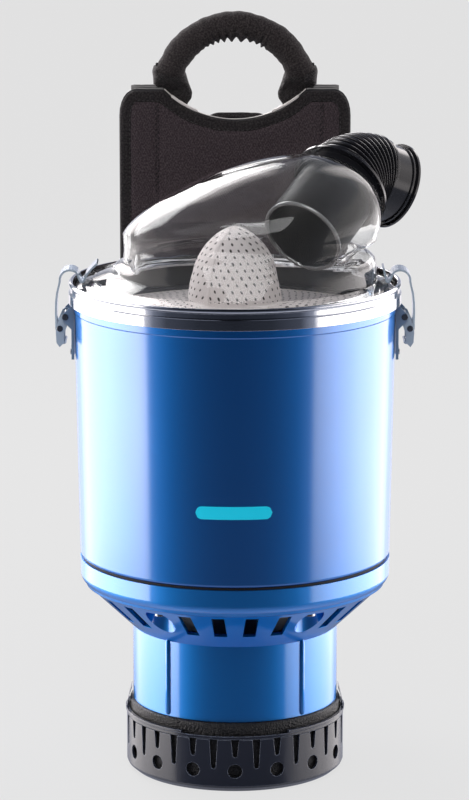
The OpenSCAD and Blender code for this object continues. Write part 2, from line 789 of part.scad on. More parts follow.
// ---------------------------------------------------------------- latches
// Drawn for the right side in the X-Z plane; the left is its mirror image
lever_pin = [can_r + 7.5, can_top - 21];
claw_pin = lever_pin + [5, -11];
eye_r = 4.2;
lever_w = claw_w + 2 * cheek_t + 1;
base_w = lever_w + 2 * cheek_t + 1;
foot = [flange_r - 6.1, flange_z + flange_edge_t + 0.4 * flange_rise + 3.3];

function claw_path(lean, tab) = concat(
    [claw_pin + [eye_r - claw_t / 2, -1], claw_pin + [3.4, 5], claw_pin + [3.6, 14],
     claw_pin + [3.4, 23], claw_pin + [2.4, 32], claw_pin + [0.6, 39]],
    arc(claw_pin + [-9.2, 43.6], 9.2, -6, 130, 9),
    arc(foot, 1.9, 225 + 85, 225 - 5, 5),
    [foot + [-2.2 - lean * 0.22, tab * 0.35], foot + [-2.5 - lean * 0.6, tab * 0.7],
     foot + [-2.8 - lean, tab]]);

module latch_claw(lean, tab) {
    color(steel) difference() {
        union() {
            xz_prism(claw_w) polygon(ribbon(claw_path(lean, tab), claw_t));
            y_rod(eye_r, claw_w, claw_pin[0], claw_pin[1]);
        }
        y_rod(pin_r + pin_gap, claw_w + 2, claw_pin[0], claw_pin[1]);
    }
}

module latch_lever() {
    p = claw_pin;
    cheek = [lever_pin + [-3.4, 2.4], lever_pin + [0, 3.8], lever_pin + [3.6, 1.6],
        p + [3.4, 2], p + [3.8, -4], p + [3.2, -13], p + [0.4, -17], p + [-3.6, -13],
        p + [-3.8, -5], lever_pin + [-3.8, -2]];
    web = ribbon(concat([p + [2.8, -5.5], p + [0.8, -9.5], p + [-1.6, -12.5]],
        arc(p + [-3.4, -11.4], 1.9, -40, -150, 3)), claw_t);
    color(steel) difference() {
        union() {
            for (s = [-1, 1]) translate([0, s * (lever_w - cheek_t) / 2, 0])
                xz_prism(cheek_t) polygon(cheek);
            xz_prism(lever_w - 0.2) polygon(web);
        }
        y_rod(pin_r + pin_gap, lever_w + 2, lever_pin[0], lever_pin[1]);
        y_rod(pin_r, lever_w + 2, p[0], p[1]);
    }
}

module latch_base() {
    face = can_r + collar_step;
    low = claw_pin[1] - 28;
    high = can_top - rim_band - 1.2;
    color([0.35, 0.36, 0.38]) difference() {
        union() {
            translate([face - 4, -base_w / 2, low]) cube([5.6, base_w, high - low]);
            for (s = [-1, 1]) translate([0, s * (base_w - cheek_t) / 2, 0]) xz_prism(cheek_t)
                polygon([[face + 1, high], [face + 1, lever_pin[1] - 12],
                    lever_pin + [2, -4], lever_pin + [3.6, 0], lever_pin + [1, 3.8],
                    [face + 1, high]]);
        }
        cylinder(r = face + 0.02, h = can_top + 10, $fn = 180);
        y_rod(pin_r, base_w + 2, lever_pin[0], lever_pin[1]);
    }
}

module lever_pins() {
    color(steel) for (side = [0, 180]) rotate([0, 0, side]) {
        y_rod(pin_r, base_w, lever_pin[0], lever_pin[1]);
        for (s = [-1, 1]) translate([0, s * (base_w + 1.2) / 2, 0])
            y_rod(pin_r + 1, 1.2, lever_pin[0], lever_pin[1]);
    }
}

module claw_pin_rod() {
    color(steel) {
        y_rod(pin_r, lever_w, claw_pin[0], claw_pin[1]);
        for (s = [-1, 1]) translate([0, s * (lever_w + 0.6) / 2, 0])
            y_rod(pin_r + 0.8, 0.6, claw_pin[0], claw_pin[1]);
    }
}

module latch_rivets() {
    face = can_r + collar_step + 1.6;
    low = claw_pin[1] - 22;
    color(steel) for (side = [0, 180]) rotate([0, 0, side]) for (y = [-9, 9])
        translate([face, y, low]) rotate([0, 90, 0]) cylinder(r = 2.6, h = 1.2, $fn = 32);
}

// ---------------------------------------------------------------- harness
corner_r = 14;

// Outline of the board in the X-Z plane, with the scooped notch under the handle
module board_outline(inset) {
    half = board_w / 2 - inset;
    top = board_top - inset;
    low = board_bottom + inset;
    scoop_r = (pow(notch_w / 2, 2) + notch_d * notch_d) / (2 * notch_d);
    corner = [for (i = [0:6]) let (a = 15 * i)
        [half - corner_r * (1 - cos(a)), top - 1.7 * corner_r * (1 - sin(a))]];
    foot_corner = [for (i = [0:4]) let (a = 90 - 22.5 * i)
        [half - corner_r * (1 - cos(a)), low + corner_r * (1 - sin(a))]];
    right = concat(foot_corner, corner);
    difference() {
        polygon(concat(right, [for (i = [len(right) - 1:-1:0]) [-right[i][0], right[i][1]]]));
        translate([0, board_top - notch_d + scoop_r - inset]) circle(r = scoop_r);
    }
}

module xz_slab(y0, t) {
    translate([0, y0 + t, 0]) rotate([90, 0, 0]) linear_extrude(t) children();
}

bracket_z = [seam_z + 52, collar_z - 34];
bracket_w = 62;
bracket_h = 30;
module harness_brackets() {
    color(black) for (z = bracket_z) difference() {
        translate([-bracket_w / 2, can_r - 12, z - bracket_h / 2])
            cube([bracket_w, board_y - can_r + 12, bracket_h]);
        translate([0, 0, can_floor_z]) cylinder(r1 = can_r_foot + 0.05, r2 = can_r + 0.05,
            h = collar_z - can_floor_z);
        for (s = [-1, 1]) translate([s * bolt_x, board_y - 6, z]) rotate([-90, 0, 0])
            cylinder(r = 2.55, h = 10, $fn = 32);
    }
}

bolt_x = 20;
bolt_head = 2.6;
module harness_bolts() {
    color(steel) for (z = bracket_z) for (s = [-1, 1]) translate([s * bolt_x, 0, z]) {
        translate([0, board_y - 6, 0]) rotate([-90, 0, 0]) cylinder(r = 2.5, h = board_t + 6, $fn = 32);
        translate([0, board_back, 0]) rotate([-90, 0, 0]) cylinder(r = 5, h = bolt_head, $fn = 32);
    }
}

module harness_board() {
    color(black) difference() {
        xz_slab(board_y, board_t) board_outline(0);
        for (z = bracket_z) for (s = [-1, 1]) translate([s * bolt_x, board_y - eps, z])
            rotate([-90, 0, 0]) cylinder(r = 2.6, h = board_t + 2 * eps, $fn = 32);
    }
}

module front_panel() {
    y0 = rim_r + panel_gap;
    color(cloth_black) difference() {
        xz_slab(y0, panel_t) board_outline(1.5);
        for (z = bracket_z) translate([-bracket_w / 2 - 4, y0 - eps, z - bracket_h / 2 - 4])
            cube([bracket_w + 8, panel_t + 2 * eps, bracket_h + 8]);
    }
}

plate_t = 2;
module corner_plates() {
    y0 = board_back;
    color([0.42, 0.43, 0.45]) for (s = [-1, 1]) xz_slab(y0, plate_t) intersection() {
        translate([0, 4.5]) board_outline(0);
        translate([s * (board_w / 2 - 26) - 15, board_top - 22]) square([30, 30]);
    }
}

// A crowned pad: flat on its back, its face rounded down to drawn-in sides, with a sunk
// channel up the middle and a head drawn in to head_w.  It lies in X-Y with its face up.
pad_n = 14;
module pad(w, l, t, channel, head_w) {
    rows = 12;
    function edge(v) = pow(max(1 - pow(abs(v), 3.2), 0), 0.5);
    function half_w(v) = w / 2 * (0.9 + 0.1 * edge(v))
        - (w - head_w) / 2 * min(max((v - 0.62) / 0.16, 0), 1);
    points = [for (j = [0:rows]) let (v = j == rows ? 1 : j == rows - 1 ? 0.94 : j == rows - 2 ? 0.8
            : j == rows - 3 ? 0.62 : 1.62 * j / (rows - 3) - 1)
        for (i = [0:2 * pad_n - 1])
            let (top = i < pad_n,
                 u = top ? 2 * i / (pad_n - 1) - 1 : 1 - 2 * (i - pad_n) / (pad_n - 1),
                 rise = t * (0.3 + 0.7 * edge(u) * edge(v)) * (1 - channel * exp(-pow(u * 6, 2))))
            [u * half_w(v), v * l / 2, top ? rise : 0]];
    polyhedron(points, pad_faces(rows + 1, 2 * pad_n));
}

pad_w = board_w - 36;
head_w = board_w / 2 - strap_w - 2;
back_top = board_top - notch_d + 5;
back_low = board_bottom + 118;
module on_board_back(z) {
    translate([0, board_back + soft_gap, z]) rotate([-90, 0, 0]) rotate([0, 0, 180]) children();
}

module back_pad() {
    color(cloth_black) difference() {
        on_board_back((back_top + back_low) / 2) pad(pad_w, back_top - back_low, pad_t, 0.55, head_w);
        for (z = bracket_z) for (s = [-1, 1]) translate([s * bolt_x, board_back - eps, z])
            rotate([-90, 0, 0]) cylinder(r = 6, h = bolt_head + 0.5 + eps, $fn = 32);
    }
}

lumbar_z = board_bottom + 60;
lumbar_w = board_w - 16;
module lumbar_pad() {
    color(cloth_black) on_board_back(lumbar_z) pad(lumbar_w, 96, pad_t + 6, 0.35, lumbar_w);
}

// Straps and belt wings are lofted through flat eight-sided sections along a curve
function curve(p, t) = pow(1 - t, 3) * p[0] + 3 * pow(1 - t, 2) * t * p[1]
    + 3 * (1 - t) * t * t * p[2] + pow(t, 3) * p[3];
function heading(p, t) = unit(curve(p, min(t + 0.01, 1)) - curve(p, max(t - 0.01, 0)));
section = [[-1, -0.5], [-0.86, -1], [0.86, -1], [1, -0.5], [1, 0.5], [0.86, 1], [-0.86, 1],
    [-1, 0.5]];

strap_top = board_top - 45;
strap_low = board_bottom + 178;
strap_out = board_back + pad_t + 20;
strap_curve = [[board_back + soft_gap, strap_top], [strap_out + 12, strap_top + 3],
    [strap_out + 25, (strap_top + strap_low) / 2 - 16], [strap_out, strap_low]];
strap_foot = strap_curve[3];
function strap_x(t) = board_w / 4 + 10 * sin(180 * t) - 2 * t;

module shoulder_strap() {
    n = 16;
    points = [for (k = [0:n]) let (t = k / n, c = curve(strap_curve, t), d = heading(strap_curve, t))
        for (q = section) [strap_x(t) + q[0] * strap_w * (1 - 0.25 * t) / 2,
            c[0] - d[1] * q[1] * strap_t * (1 - 0.3 * t) / 2,
            c[1] + d[0] * q[1] * strap_t * (1 - 0.3 * t) / 2]];
    color(cloth_black) polyhedron(points, flipped(loft_faces(n + 1, 8)));
}

// The webbing runs down from the strap's foot through its adjuster to the board
webbing_t = 2;
webbing_w = 24;
foot_dir = heading(strap_curve, 1);
module strap_webbing() {
    anchor = back_low - 6;
    bend = strap_foot + foot_dir * (strap_low - anchor - 12);
    color(black) translate([strap_x(1), 0, 0]) rotate([0, 0, 90]) rotate([90, 0, 0])
        linear_extrude(webbing_w, center = true)
            polygon(ribbon([strap_foot + foot_dir * 2, bend, bend + [-8, -6],
                [board_back + 14, anchor], [board_back + soft_gap, anchor]], webbing_t));
}

module strap_adjusters() {
    tilt = atan2(foot_dir[0], -foot_dir[1]);
    color(black) for (s = [0, 1]) mirror([s, 0, 0])
        translate([strap_x(1), strap_foot[0], strap_foot[1]]) rotate([tilt, 0, 0]) difference() {
            translate([-18, -4.5, -22.6]) cube([36, 9, 22]);
            translate([-webbing_w / 2 - 0.3, -webbing_t / 2 - 0.3, -30])
                cube([webbing_w + 0.6, webbing_t + 0.6, 40]);
        }
}

belt_t = 9;
belt_root = [lumbar_w / 2 + soft_gap, board_back + soft_gap + belt_t / 2];
belt_curve = [belt_root, belt_root + [40, 0], belt_root + [40, 98], [40, belt_root[1] + 96]];
belt_end = belt_curve[3];
module belt_wing() {
    n = 14;
    points = [for (k = [0:n]) let (t = k / n, c = curve(belt_curve, t), d = heading(belt_curve, t))
        for (q = section) [c[0] - d[1] * q[1] * belt_t / 2, c[1] + d[0] * q[1] * belt_t / 2,
            lumbar_z + q[0] * belt_h * (1 - 0.45 * t) / 2]];
    color(cloth_black) polyhedron(points, loft_faces(n + 1, 8));
}

module belt_buckle() {
    reach = belt_end[0] - soft_gap;
    color(black) translate([0, belt_end[1], lumbar_z]) {
        cube([48, 10, 32], center = true);
        cube([2 * reach, 2.4, 26], center = true);
    }
}

handle_z = board_top + handle_drop;
handle_y = board_y + board_t / 2;
handle_sweep = 152;
module handle_sleeve() {
    color(cloth_black) translate([0, handle_y, handle_z]) rotate([90, 0, 0])
        rotate([0, 0, 90 - handle_sweep / 2]) rotate_extrude(angle = handle_sweep)
            translate([handle_r, 0]) circle(r = sleeve_r, $fn = 32);
}

module handle_tabs() {
    tab_t = 5;
    a = 90 - handle_sweep / 2;
    top = handle_r * sin(a) - 0.6;
    rise = 13 * tan(a);
    color(cloth_black) for (s = [0, 1]) mirror([s, 0, 0])
        translate([handle_r * cos(a), board_back + plate_t + soft_gap, handle_z]) xz_slab(0, tab_t)
            polygon([[-13, top - rise], [13, top + rise], [15, -2], [-4, -30], [-16, -34], [-22, -14]]);
}

// ---------------------------------------------------------------- electrics
flat_depth = 0.8;
gland_az = 90;
gland_z = housing_z + 22;
gland_r = gland_bore + 4.5;
module cable_gland() {
    color(black) rotate([0, 0, gland_az]) translate([housing_r, 0, gland_z]) rotate([0, 90, 0])
        difference() {
            union() {
                translate([0, 0, -6]) cylinder(r = gland_r - pin_gap, h = 6);
                translate([0, 0, -flat_depth]) cylinder(r = gland_r + 3, h = 4, $fn = 6);
                translate([0, 0, -1]) cylinder(r = gland_r - 1.5, h = gland_len - 5);
            }
            translate([0, 0, -6 - eps]) cylinder(r = gland_bore, h = gland_len + 2 * eps);
        }
}

switch_az = 58;
switch_z = housing_z + 40;
switch_w = 15;
switch_h = 22;
module on_switch() {
    rotate([0, 0, switch_az]) translate([housing_r, 0, switch_z]) children();
}

module switch_bezel() {
    color(black) on_switch() difference() {
        union() {
            translate([0, 0, 0]) cube([20, switch_w + 2, switch_h + 2], center = true);
            translate([1.5 - flat_depth, 0, 0]) cube([3, switch_w + 7, switch_h + 7], center = true);
        }
        translate([-3, 0, 0]) cube([30, switch_w - 1, switch_h - 1], center = true);
        difference() {
            cube([40, 40, 40], center = true);
            translate([-12, -20, -20]) cube([15 - flat_depth, 40, 40]);
        }
        translate([-2, 0, 0]) rotate([90, 0, 0]) cylinder(r = 1.5, h = switch_w, center = true, $fn = 32);
    }
}

module switch_rocker() {
    color([0.75, 0.1, 0.08]) on_switch() translate([-2, 0, 0]) rotate([0, rocker_tilt, 0]) {
        xz_prism(switch_w - 2) polygon([[-5, -4], [2, -9.4], [5, -9], [3.4, 0], [5, 9], [2, 9.4],
            [-5, 4]]);
        rotate([90, 0, 0]) cylinder(r = 1.45, h = switch_w - 0.2, center = true, $fn = 32);
    }
}

base_cap();
exhaust_filter();
base_retainer();
motor_housing();
housing_screws();
motor_frame();
motor_stator();
brush_holders();
motor_bearings();
fan_case();
rotor_shaft();
armature();
impeller();
motor_mount();
motor_gasket();
canister_seal();
motor_grille();
canister();
rim_ring();
lid_gasket();
lid_flange();
lid_skirt();
dome_lid();
inlet_socket();
inlet_tube();
hose_cuff();
hose_collar();
filter_ring();
filter_cone();
filter_frame();
mirror([1, 0, 0]) latch_base();  // latch_base_left
latch_base();  // latch_base_right
mirror([1, 0, 0]) latch_lever();  // latch_lever_left
latch_lever();  // latch_lever_right
mirror([1, 0, 0]) latch_claw(11, 15);  // latch_claw_left
latch_claw(1.5, 11);  // latch_claw_right
lever_pins();
mirror([1, 0, 0]) claw_pin_rod();  // claw_pin_left
claw_pin_rod();  // claw_pin_right
latch_rivets();
harness_board();
harness_brackets();
harness_bolts();
front_panel();
corner_plates();
back_pad();
lumbar_pad();
mirror([1, 0, 0]) shoulder_strap();  // shoulder_strap_left
shoulder_strap();  // shoulder_strap_right
mirror([1, 0, 0]) strap_webbing();  // strap_webbing_left
strap_webbing();  // strap_webbing_right
strap_adjusters();
mirror([1, 0, 0]) belt_wing();  // belt_wing_left
belt_wing();  // belt_wing_right
belt_buckle();
handle_sleeve();
handle_tabs();
cable_gland();
switch_bezel();
switch_rocker();
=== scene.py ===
"""Backpack vacuum cleaner: finishes, soft goods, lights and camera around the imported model."""
import math

import bmesh
import bpy
import numpy as np
from mathutils import Matrix, Vector
from mathutils.geometry import delaunay_2d_cdt


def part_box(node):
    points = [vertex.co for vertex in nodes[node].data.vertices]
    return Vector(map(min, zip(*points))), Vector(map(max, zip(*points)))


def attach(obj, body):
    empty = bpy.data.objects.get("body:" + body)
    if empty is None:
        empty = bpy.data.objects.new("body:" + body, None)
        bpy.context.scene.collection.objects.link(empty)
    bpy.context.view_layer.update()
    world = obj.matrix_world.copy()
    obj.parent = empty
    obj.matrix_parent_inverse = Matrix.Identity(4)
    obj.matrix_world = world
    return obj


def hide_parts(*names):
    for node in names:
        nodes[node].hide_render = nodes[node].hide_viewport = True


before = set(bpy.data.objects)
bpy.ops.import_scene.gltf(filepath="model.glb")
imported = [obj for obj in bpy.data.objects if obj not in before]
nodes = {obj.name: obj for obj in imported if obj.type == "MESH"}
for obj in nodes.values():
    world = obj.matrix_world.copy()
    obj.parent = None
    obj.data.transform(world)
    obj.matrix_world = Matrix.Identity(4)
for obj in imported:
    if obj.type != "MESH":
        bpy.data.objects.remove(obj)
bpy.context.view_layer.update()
MM = 0.001


# ---- nodes
def node(tree, kind, inputs=(), **settings):
    """A new node with its settings, and its inputs fed by name or number."""
    n = tree.nodes.new(kind)
    for key, value in settings.items():
        setattr(n, key, value)
    return feed(tree, n, inputs)


def feed(tree, n, inputs):
    """Sets or links inputs of a node; a node as a value stands for its first output."""
    for key, value in dict(inputs).items():
        if isinstance(value, bpy.types.Node):
            value = value.outputs[0]
        if isinstance(value, bpy.types.NodeSocket):
            tree.links.new(value, n.inputs[key])
        else:
            n.inputs[key].default_value = value
    return n


def calc(tree, operation, *values):
    return node(tree, "ShaderNodeMath", enumerate(values), operation=operation).outputs[0]


def times(tree, a, b):
    return calc(tree, "MULTIPLY", a, b)


def blend_colour(tree, factor, a, b):
    return node(tree, "ShaderNodeMix", {0: factor, 6: a, 7: b}, data_type="RGBA").outputs[2]


def noise(tree, vector, scale, detail, rough=0.5):
    inputs = {"Vector": vector, "Scale": scale, "Detail": detail, "Roughness": rough}
    return node(tree, "ShaderNodeTexNoise", inputs).outputs["Fac"]


def bump(tree, height, normal=None):
    """A bump of real height in metres."""
    n = node(tree, "ShaderNodeBump", {"Distance": 1.0, "Height": height})
    return n if normal is None else feed(tree, n, {"Normal": normal})


def blend_shader(tree, factor, a, b):
    return node(tree, "ShaderNodeMixShader", {0: factor, 1: a, 2: b})


def either_ray(tree, *kinds):
    """1 for a ray of one of two kinds, else 0."""
    path = node(tree, "ShaderNodeLightPath").outputs
    return calc(tree, "MAXIMUM", *(path[f"Is {kind} Ray"] for kind in kinds))


def ramp(tree, value, stops):
    """Levels of grey between stops of place and level."""
    n = node(tree, "ShaderNodeValToRGB", {0: value})
    e = n.color_ramp.elements
    while len(e) < len(stops):
        e.new(0.5)
    for k, (at, level) in enumerate(stops):
        e[k].position = at
        e[k].color = (level, level, level, 1)
    return n.outputs[0]


# ---- camera, floor and lights
FRAME_H, FOCAL_PX = 800, 3942.1
CAMERA_AT, CAMERA_DIP = (0, -3.5, 1.0658), 11.71
BACKDROP = (0.79, 0.79, 0.79, 1)
SOFT_BANKS = [(-180, 0.17), (-152, 0.3), (-138, 0.8), (-100, 1.0), (-74, 0.95), (-67, 0.8),
              (-65, 0.16), (-58, 0.05), (-48, 0.016), (-25, 0.006), (0, 0.003), (25, 0.006),
              (46, 0.018), (56, 0.08), (61, 0.4), (78, 0.6), (102, 0.8), (138, 0.8), (152, 0.3),
              (180, 0.17)]
BANK_HEIGHT = [(-1.0, 0.05), (-0.6, 0.08), (-0.31, 0.16), (-0.28, 0.5), (-0.25, 1.0),
               (-0.2, 1.0), (-0.08, 1.0), (0.08, 0.5), (0.45, 0.42), (0.6, 0.2), (0.85, 0.06)]
BANK_LEVEL = 4.6
BACK_BAND = [(-180, 0.0), (-174, 0.1), (-168, 1.0), (-146, 1.0), (-138, 0.0), (138, 0.0),
             (147, 0.6), (158, 0.6), (165, 0.0), (180, 0.0)]
BACK_BAND_HEIGHT = [(-1.0, 0.0), (0.1, 0.0), (0.2, 1.0), (0.72, 1.0), (0.84, 0.0)]
BACK_BAND_LEVEL = 5.0
LOW_GLOW = [(0.0, 0.009), (0.18, 0.009), (0.27, 0.08), (0.5, 0.25), (0.9, 0.5)]
DIM_TINT, BRIGHT_TINT = (0.6, 0.7, 1.0, 1), (1.03, 0.98, 0.98, 1)


def softbox(name, azimuth, distance, height, size, radiance, tilt):
    """azimuth 0 is the camera's side and 90 the left; size is width and height in metres."""
    lamp = bpy.data.lights.new(name, "AREA")
    lamp.shape = "RECTANGLE"
    lamp.size, lamp.size_y = size
    lamp.energy = radiance * math.pi * size[0] * size[1]
    box = bpy.data.objects.new(name, lamp)
    bpy.context.scene.collection.objects.link(box)
    a = math.radians(azimuth)
    box.location = (-distance * math.sin(a), -distance * math.cos(a), height)
    aim = Vector((0, 0, height - tilt)) - box.location
    box.rotation_euler = aim.to_track_quat("-Z", "Y").to_euler()
    box.visible_camera = False
    return box


def clear_tree(owner):
    owner.use_nodes = True
    owner.node_tree.nodes.clear()
    return owner.node_tree


def studio_world():
    """Soft banks round the room, a band behind and a low glow; plain pale to the camera."""
    world = bpy.data.worlds.new("studio")
    bpy.context.scene.world = world
    t = clear_tree(world)
    way = node(t, "ShaderNodeTexCoord").outputs["Generated"]
    x, y, z = node(t, "ShaderNodeSeparateXYZ", {0: way}).outputs
    turn = calc(t, "ARCTAN2", x, times(t, y, -1.0))
    around = calc(t, "MULTIPLY_ADD", turn, 0.5 / math.pi, 0.5)
    upward = calc(t, "MULTIPLY_ADD", z, 0.5, 0.5)

    def banks(sides, heights, level):
        a = ramp(t, around, [(0.5 + deg / 360, v) for deg, v in sides])
        b = ramp(t, upward, [(0.5 + h / 2, v) for h, v in heights])
        return times(t, times(t, a, b), level)

    level = calc(t, "ADD", banks(SOFT_BANKS, BANK_HEIGHT, BANK_LEVEL),
                 banks(BACK_BAND, BACK_BAND_HEIGHT, BACK_BAND_LEVEL))
    level = calc(t, "ADD", level, ramp(t, times(t, z, -1.0), LOW_GLOW))
    bright = calc(t, "MINIMUM", times(t, level, 0.8), 1.0)
    tint = blend_colour(t, bright, DIM_TINT, BRIGHT_TINT)
    room = node(t, "ShaderNodeBackground", {"Strength": level, "Color": tint})
    pale = node(t, "ShaderNodeBackground", {"Color": BACKDROP})
    seen = either_ray(t, "Camera", "Transmission")
    node(t, "ShaderNodeOutputWorld", {0: blend_shader(t, seen, room, pale)})


def studio_floor():
    """A pale strip that glows to the camera, takes soft shadows and isn't mirrored."""
    bpy.ops.mesh.primitive_plane_add(size=1)
    floor = bpy.context.object
    floor.name = "floor"
    floor.data.transform(Matrix.Translation((0, 3.3, -0.0002)) @ Matrix.Diagonal((1.7, 9.4, 1, 1)))
    m = bpy.data.materials.new("pale_floor")
    t = clear_tree(m)
    glow = node(t, "ShaderNodeEmission", {"Color": BACKDROP})
    matt = node(t, "ShaderNodeBsdfDiffuse", {"Color": (0.6, 0.6, 0.6, 1)})
    seen = times(t, either_ray(t, "Camera", "Transmission"), 0.9)
    mirrored = node(t, "ShaderNodeLightPath").outputs["Is Glossy Ray"]
    surface = blend_shader(t, mirrored, blend_shader(t, seen, matt, glow),
                           node(t, "ShaderNodeBsdfTransparent"))
    node(t, "ShaderNodeOutputMaterial", {0: surface})
    floor.data.materials.append(m)


def studio():
    """The camera, the two lamps, the room and the floor."""
    scene = bpy.context.scene
    scene.view_settings.view_transform = "Standard"
    cam = bpy.data.objects.new("camera", bpy.data.cameras.new("camera"))
    scene.collection.objects.link(cam)
    scene.camera = cam
    cam.data.sensor_width = 36
    cam.data.lens = FOCAL_PX / FRAME_H * 36
    cam.data.shift_x = -0.5 / FRAME_H
    cam.data.clip_start, cam.data.clip_end = 0.05, 60
    cam.location = CAMERA_AT
    cam.rotation_euler = (math.radians(90 - CAMERA_DIP), 0, 0)
    softbox("softbox_top", 150, 1.9, 1.68, (1.7, 1.0), 5.0, 1.15)
    softbox("fill_front", 6, 1.7, 2.3, (2.0, 1.0), 6.0, 1.85).visible_glossy = False
    studio_world()
    studio_floor()


studio()


# ---- shader node groups
F, C, V = "NodeSocketFloat", "NodeSocketColor", "NodeSocketVector"


def new_group(name, ins, outs):
    """An empty shader group with its input sockets, and its output node."""
    g = bpy.data.node_groups.new(name, "ShaderNodeTree")
    for label, kind, value in ins:
        s = g.interface.new_socket(label, in_out="INPUT", socket_type=kind)
        if value is not None:
            s.default_value = value
    for label, kind in outs:
        g.interface.new_socket(label, in_out="OUTPUT", socket_type=kind)
    return g, node(g, "NodeGroupInput").outputs, node(g, "NodeGroupOutput")


def make_surface_group():
    """Colour drift, fine grain, softened edges, an edge colour and dust for moulded and metal
    pieces; the edge colour is wear on some finishes and a painted highlight along the edges of the
    black base.
    """
    g, i, out = new_group("surface_finish", [
        ("Vector", V, None), ("Colour", C, (0.5, 0.5, 0.5, 1)), ("Drift", F, 0.1),
        ("Drift Scale", F, 18.0), ("Grain Scale", F, 900.0), ("Grain Depth", F, 0.00002),
        ("Roughness", F, 0.4), ("Roughness Drift", F, 0.08), ("Edge Radius", F, 0.0005),
        ("Edge Wear And Highlight Colour", C, (0.6, 0.6, 0.6, 1)), ("Edge Wear And Highlight", F, 0.0), ("Dust", F, 0.0)],
        [("Color", C), ("Roughness", F), ("Normal", V)])
    big = noise(g, i["Vector"], i["Drift Scale"], 4)
    dark = calc(g, "SUBTRACT", 1.0, times(g, i["Drift"], big))
    shade = node(g, "ShaderNodeVectorMath", {0: i["Colour"], "Scale": dark}, operation="SCALE")
    bevel = node(g, "ShaderNodeBevel", {"Radius": i["Edge Radius"]}, samples=4)
    normal = node(g, "ShaderNodeNewGeometry").outputs["Normal"]
    dot = node(g, "ShaderNodeVectorMath", {0: bevel, 1: normal}, operation="DOT_PRODUCT")
    turned = calc(g, "SUBTRACT", 1.0, dot.outputs["Value"])
    # Edge colour where the bevel bends the normal: worn edges on some finishes, and a painted
    # highlight on the black base.
    edge = node(g, "ShaderNodeMapRange", {"Value": turned, "From Min": 0.01, "From Max": 0.16})
    patchy = times(g, edge, noise(g, i["Vector"], 160.0, 3))
    edge_wear_and_highlight_mask = times(g, patchy, i["Edge Wear And Highlight"])
    up = calc(g, "MAXIMUM", node(g, "ShaderNodeSeparateXYZ", {0: normal}).outputs["Z"], 0.0)
    lint = times(g, times(g, up, noise(g, i["Vector"], 60.0, 5)), i["Dust"])
    spread = times(g, calc(g, "SUBTRACT", big, 0.5), i["Roughness Drift"])
    marked = blend_colour(g, edge_wear_and_highlight_mask, shade, i["Edge Wear And Highlight Colour"])
    grain = times(g, noise(g, i["Vector"], i["Grain Scale"], 2), i["Grain Depth"])
    feed(g, out, {
        "Color": blend_colour(g, lint, marked, (0.42, 0.4, 0.38, 1)),
        "Roughness": calc(g, "ADD", calc(g, "ADD", i["Roughness"], spread),
                          times(g, lint, 0.4)),
        "Normal": bump(g, grain, bevel)})
    return g


def make_weave_group():
    """Plain woven cloth with its own thread size across and along, on any vector."""
    g, i, out = new_group("woven_cloth", [
        ("Vector", V, None), ("Across", F, 1400.0), ("Along", F, 1400.0),
        ("Colour", C, (0.05, 0.05, 0.05, 1)), ("Thread Colour", C, (0.12, 0.12, 0.12, 1)),
        ("Depth", F, 0.00012), ("Fade", F, 0.25), ("Mottle", F, 0.9)],
        [("Color", C), ("Normal", V), ("Height", F)])
    split = node(g, "ShaderNodeSeparateXYZ", {0: i["Vector"]}).outputs
    a, b = (calc(g, "SINE", times(g, split[axis], i[label]))
            for axis, label in (("X", "Across"), ("Y", "Along")))
    over = calc(g, "MULTIPLY_ADD", times(g, a, b), 0.5, 0.5)
    fuzz = noise(g, i["Vector"], 2600.0, 2)
    height = calc(g, "ADD", times(g, over, 0.75), times(g, fuzz, 0.35))
    blotch = calc(g, "SUBTRACT", noise(g, i["Vector"], 560.0, 3, 0.6), 0.5)
    nap = times(g, blotch, i["Mottle"])
    lit = calc(g, "MULTIPLY_ADD", nap, 4.0, times(g, height, 0.7))
    show = node(g, "ShaderNodeClamp", {"Value": lit})
    thread = blend_colour(g, show, i["Colour"], i["Thread Colour"])
    marked = times(g, noise(g, i["Vector"], 22.0, 5), i["Fade"])
    feed(g, out, {"Color": blend_colour(g, marked, thread, i["Thread Colour"]),
                  "Normal": bump(g, times(g, height, i["Depth"])), "Height": height})
    return g


surface_finish = make_surface_group()
woven_cloth = make_weave_group()


# ---- materials
def principled(name):
    m = bpy.data.materials.new(name)
    m.use_nodes = True
    t = m.node_tree
    return m, t, t.nodes["Principled BSDF"]


def vector(t, kind="Object"):
    return node(t, "ShaderNodeTexCoord").outputs[kind]


def finish_material(name, colour, rough, metallic=0.0, coat=0.0, coat_rough=0.1, coat_ior=1.5,
                    specular=0.5, **finish):
    """A moulded or metal finish: shader values on its own sockets, the rest from the group."""
    m, t, p = principled(name)
    n = node(t, "ShaderNodeGroup",
             {"Vector": vector(t), "Colour": (*colour, 1), "Roughness": rough},
             node_tree=surface_finish)
    feed(t, n, {key.replace("_", " ").title(): value for key, value in finish.items()})
    feed(t, p, {"Base Color": n.outputs["Color"], "Roughness": n.outputs["Roughness"],
                "Normal": n.outputs["Normal"], "Metallic": metallic, "Coat Weight": coat,
                "Coat Roughness": coat_rough, "Coat IOR": coat_ior,
                "Specular IOR Level": specular})
    return m


def cloth_material(name, colour, thread, across, along, depth=0.00012, sheen=0.25):
    """Woven cloth in the piece's own UVs, which are real lengths."""
    m, t, p = principled(name)
    n = node(t, "ShaderNodeGroup", {
        "Vector": vector(t, "UV"), "Colour": (*colour, 1), "Thread Colour": (*thread, 1),
        "Across": across, "Along": along, "Depth": depth}, node_tree=woven_cloth)
    feed(t, p, {"Base Color": n.outputs["Color"], "Normal": n.outputs["Normal"],
                "Roughness": 0.85, "Sheen Weight": sheen, "Sheen Roughness": 0.4,
                "Specular IOR Level": 0.3})
    return m


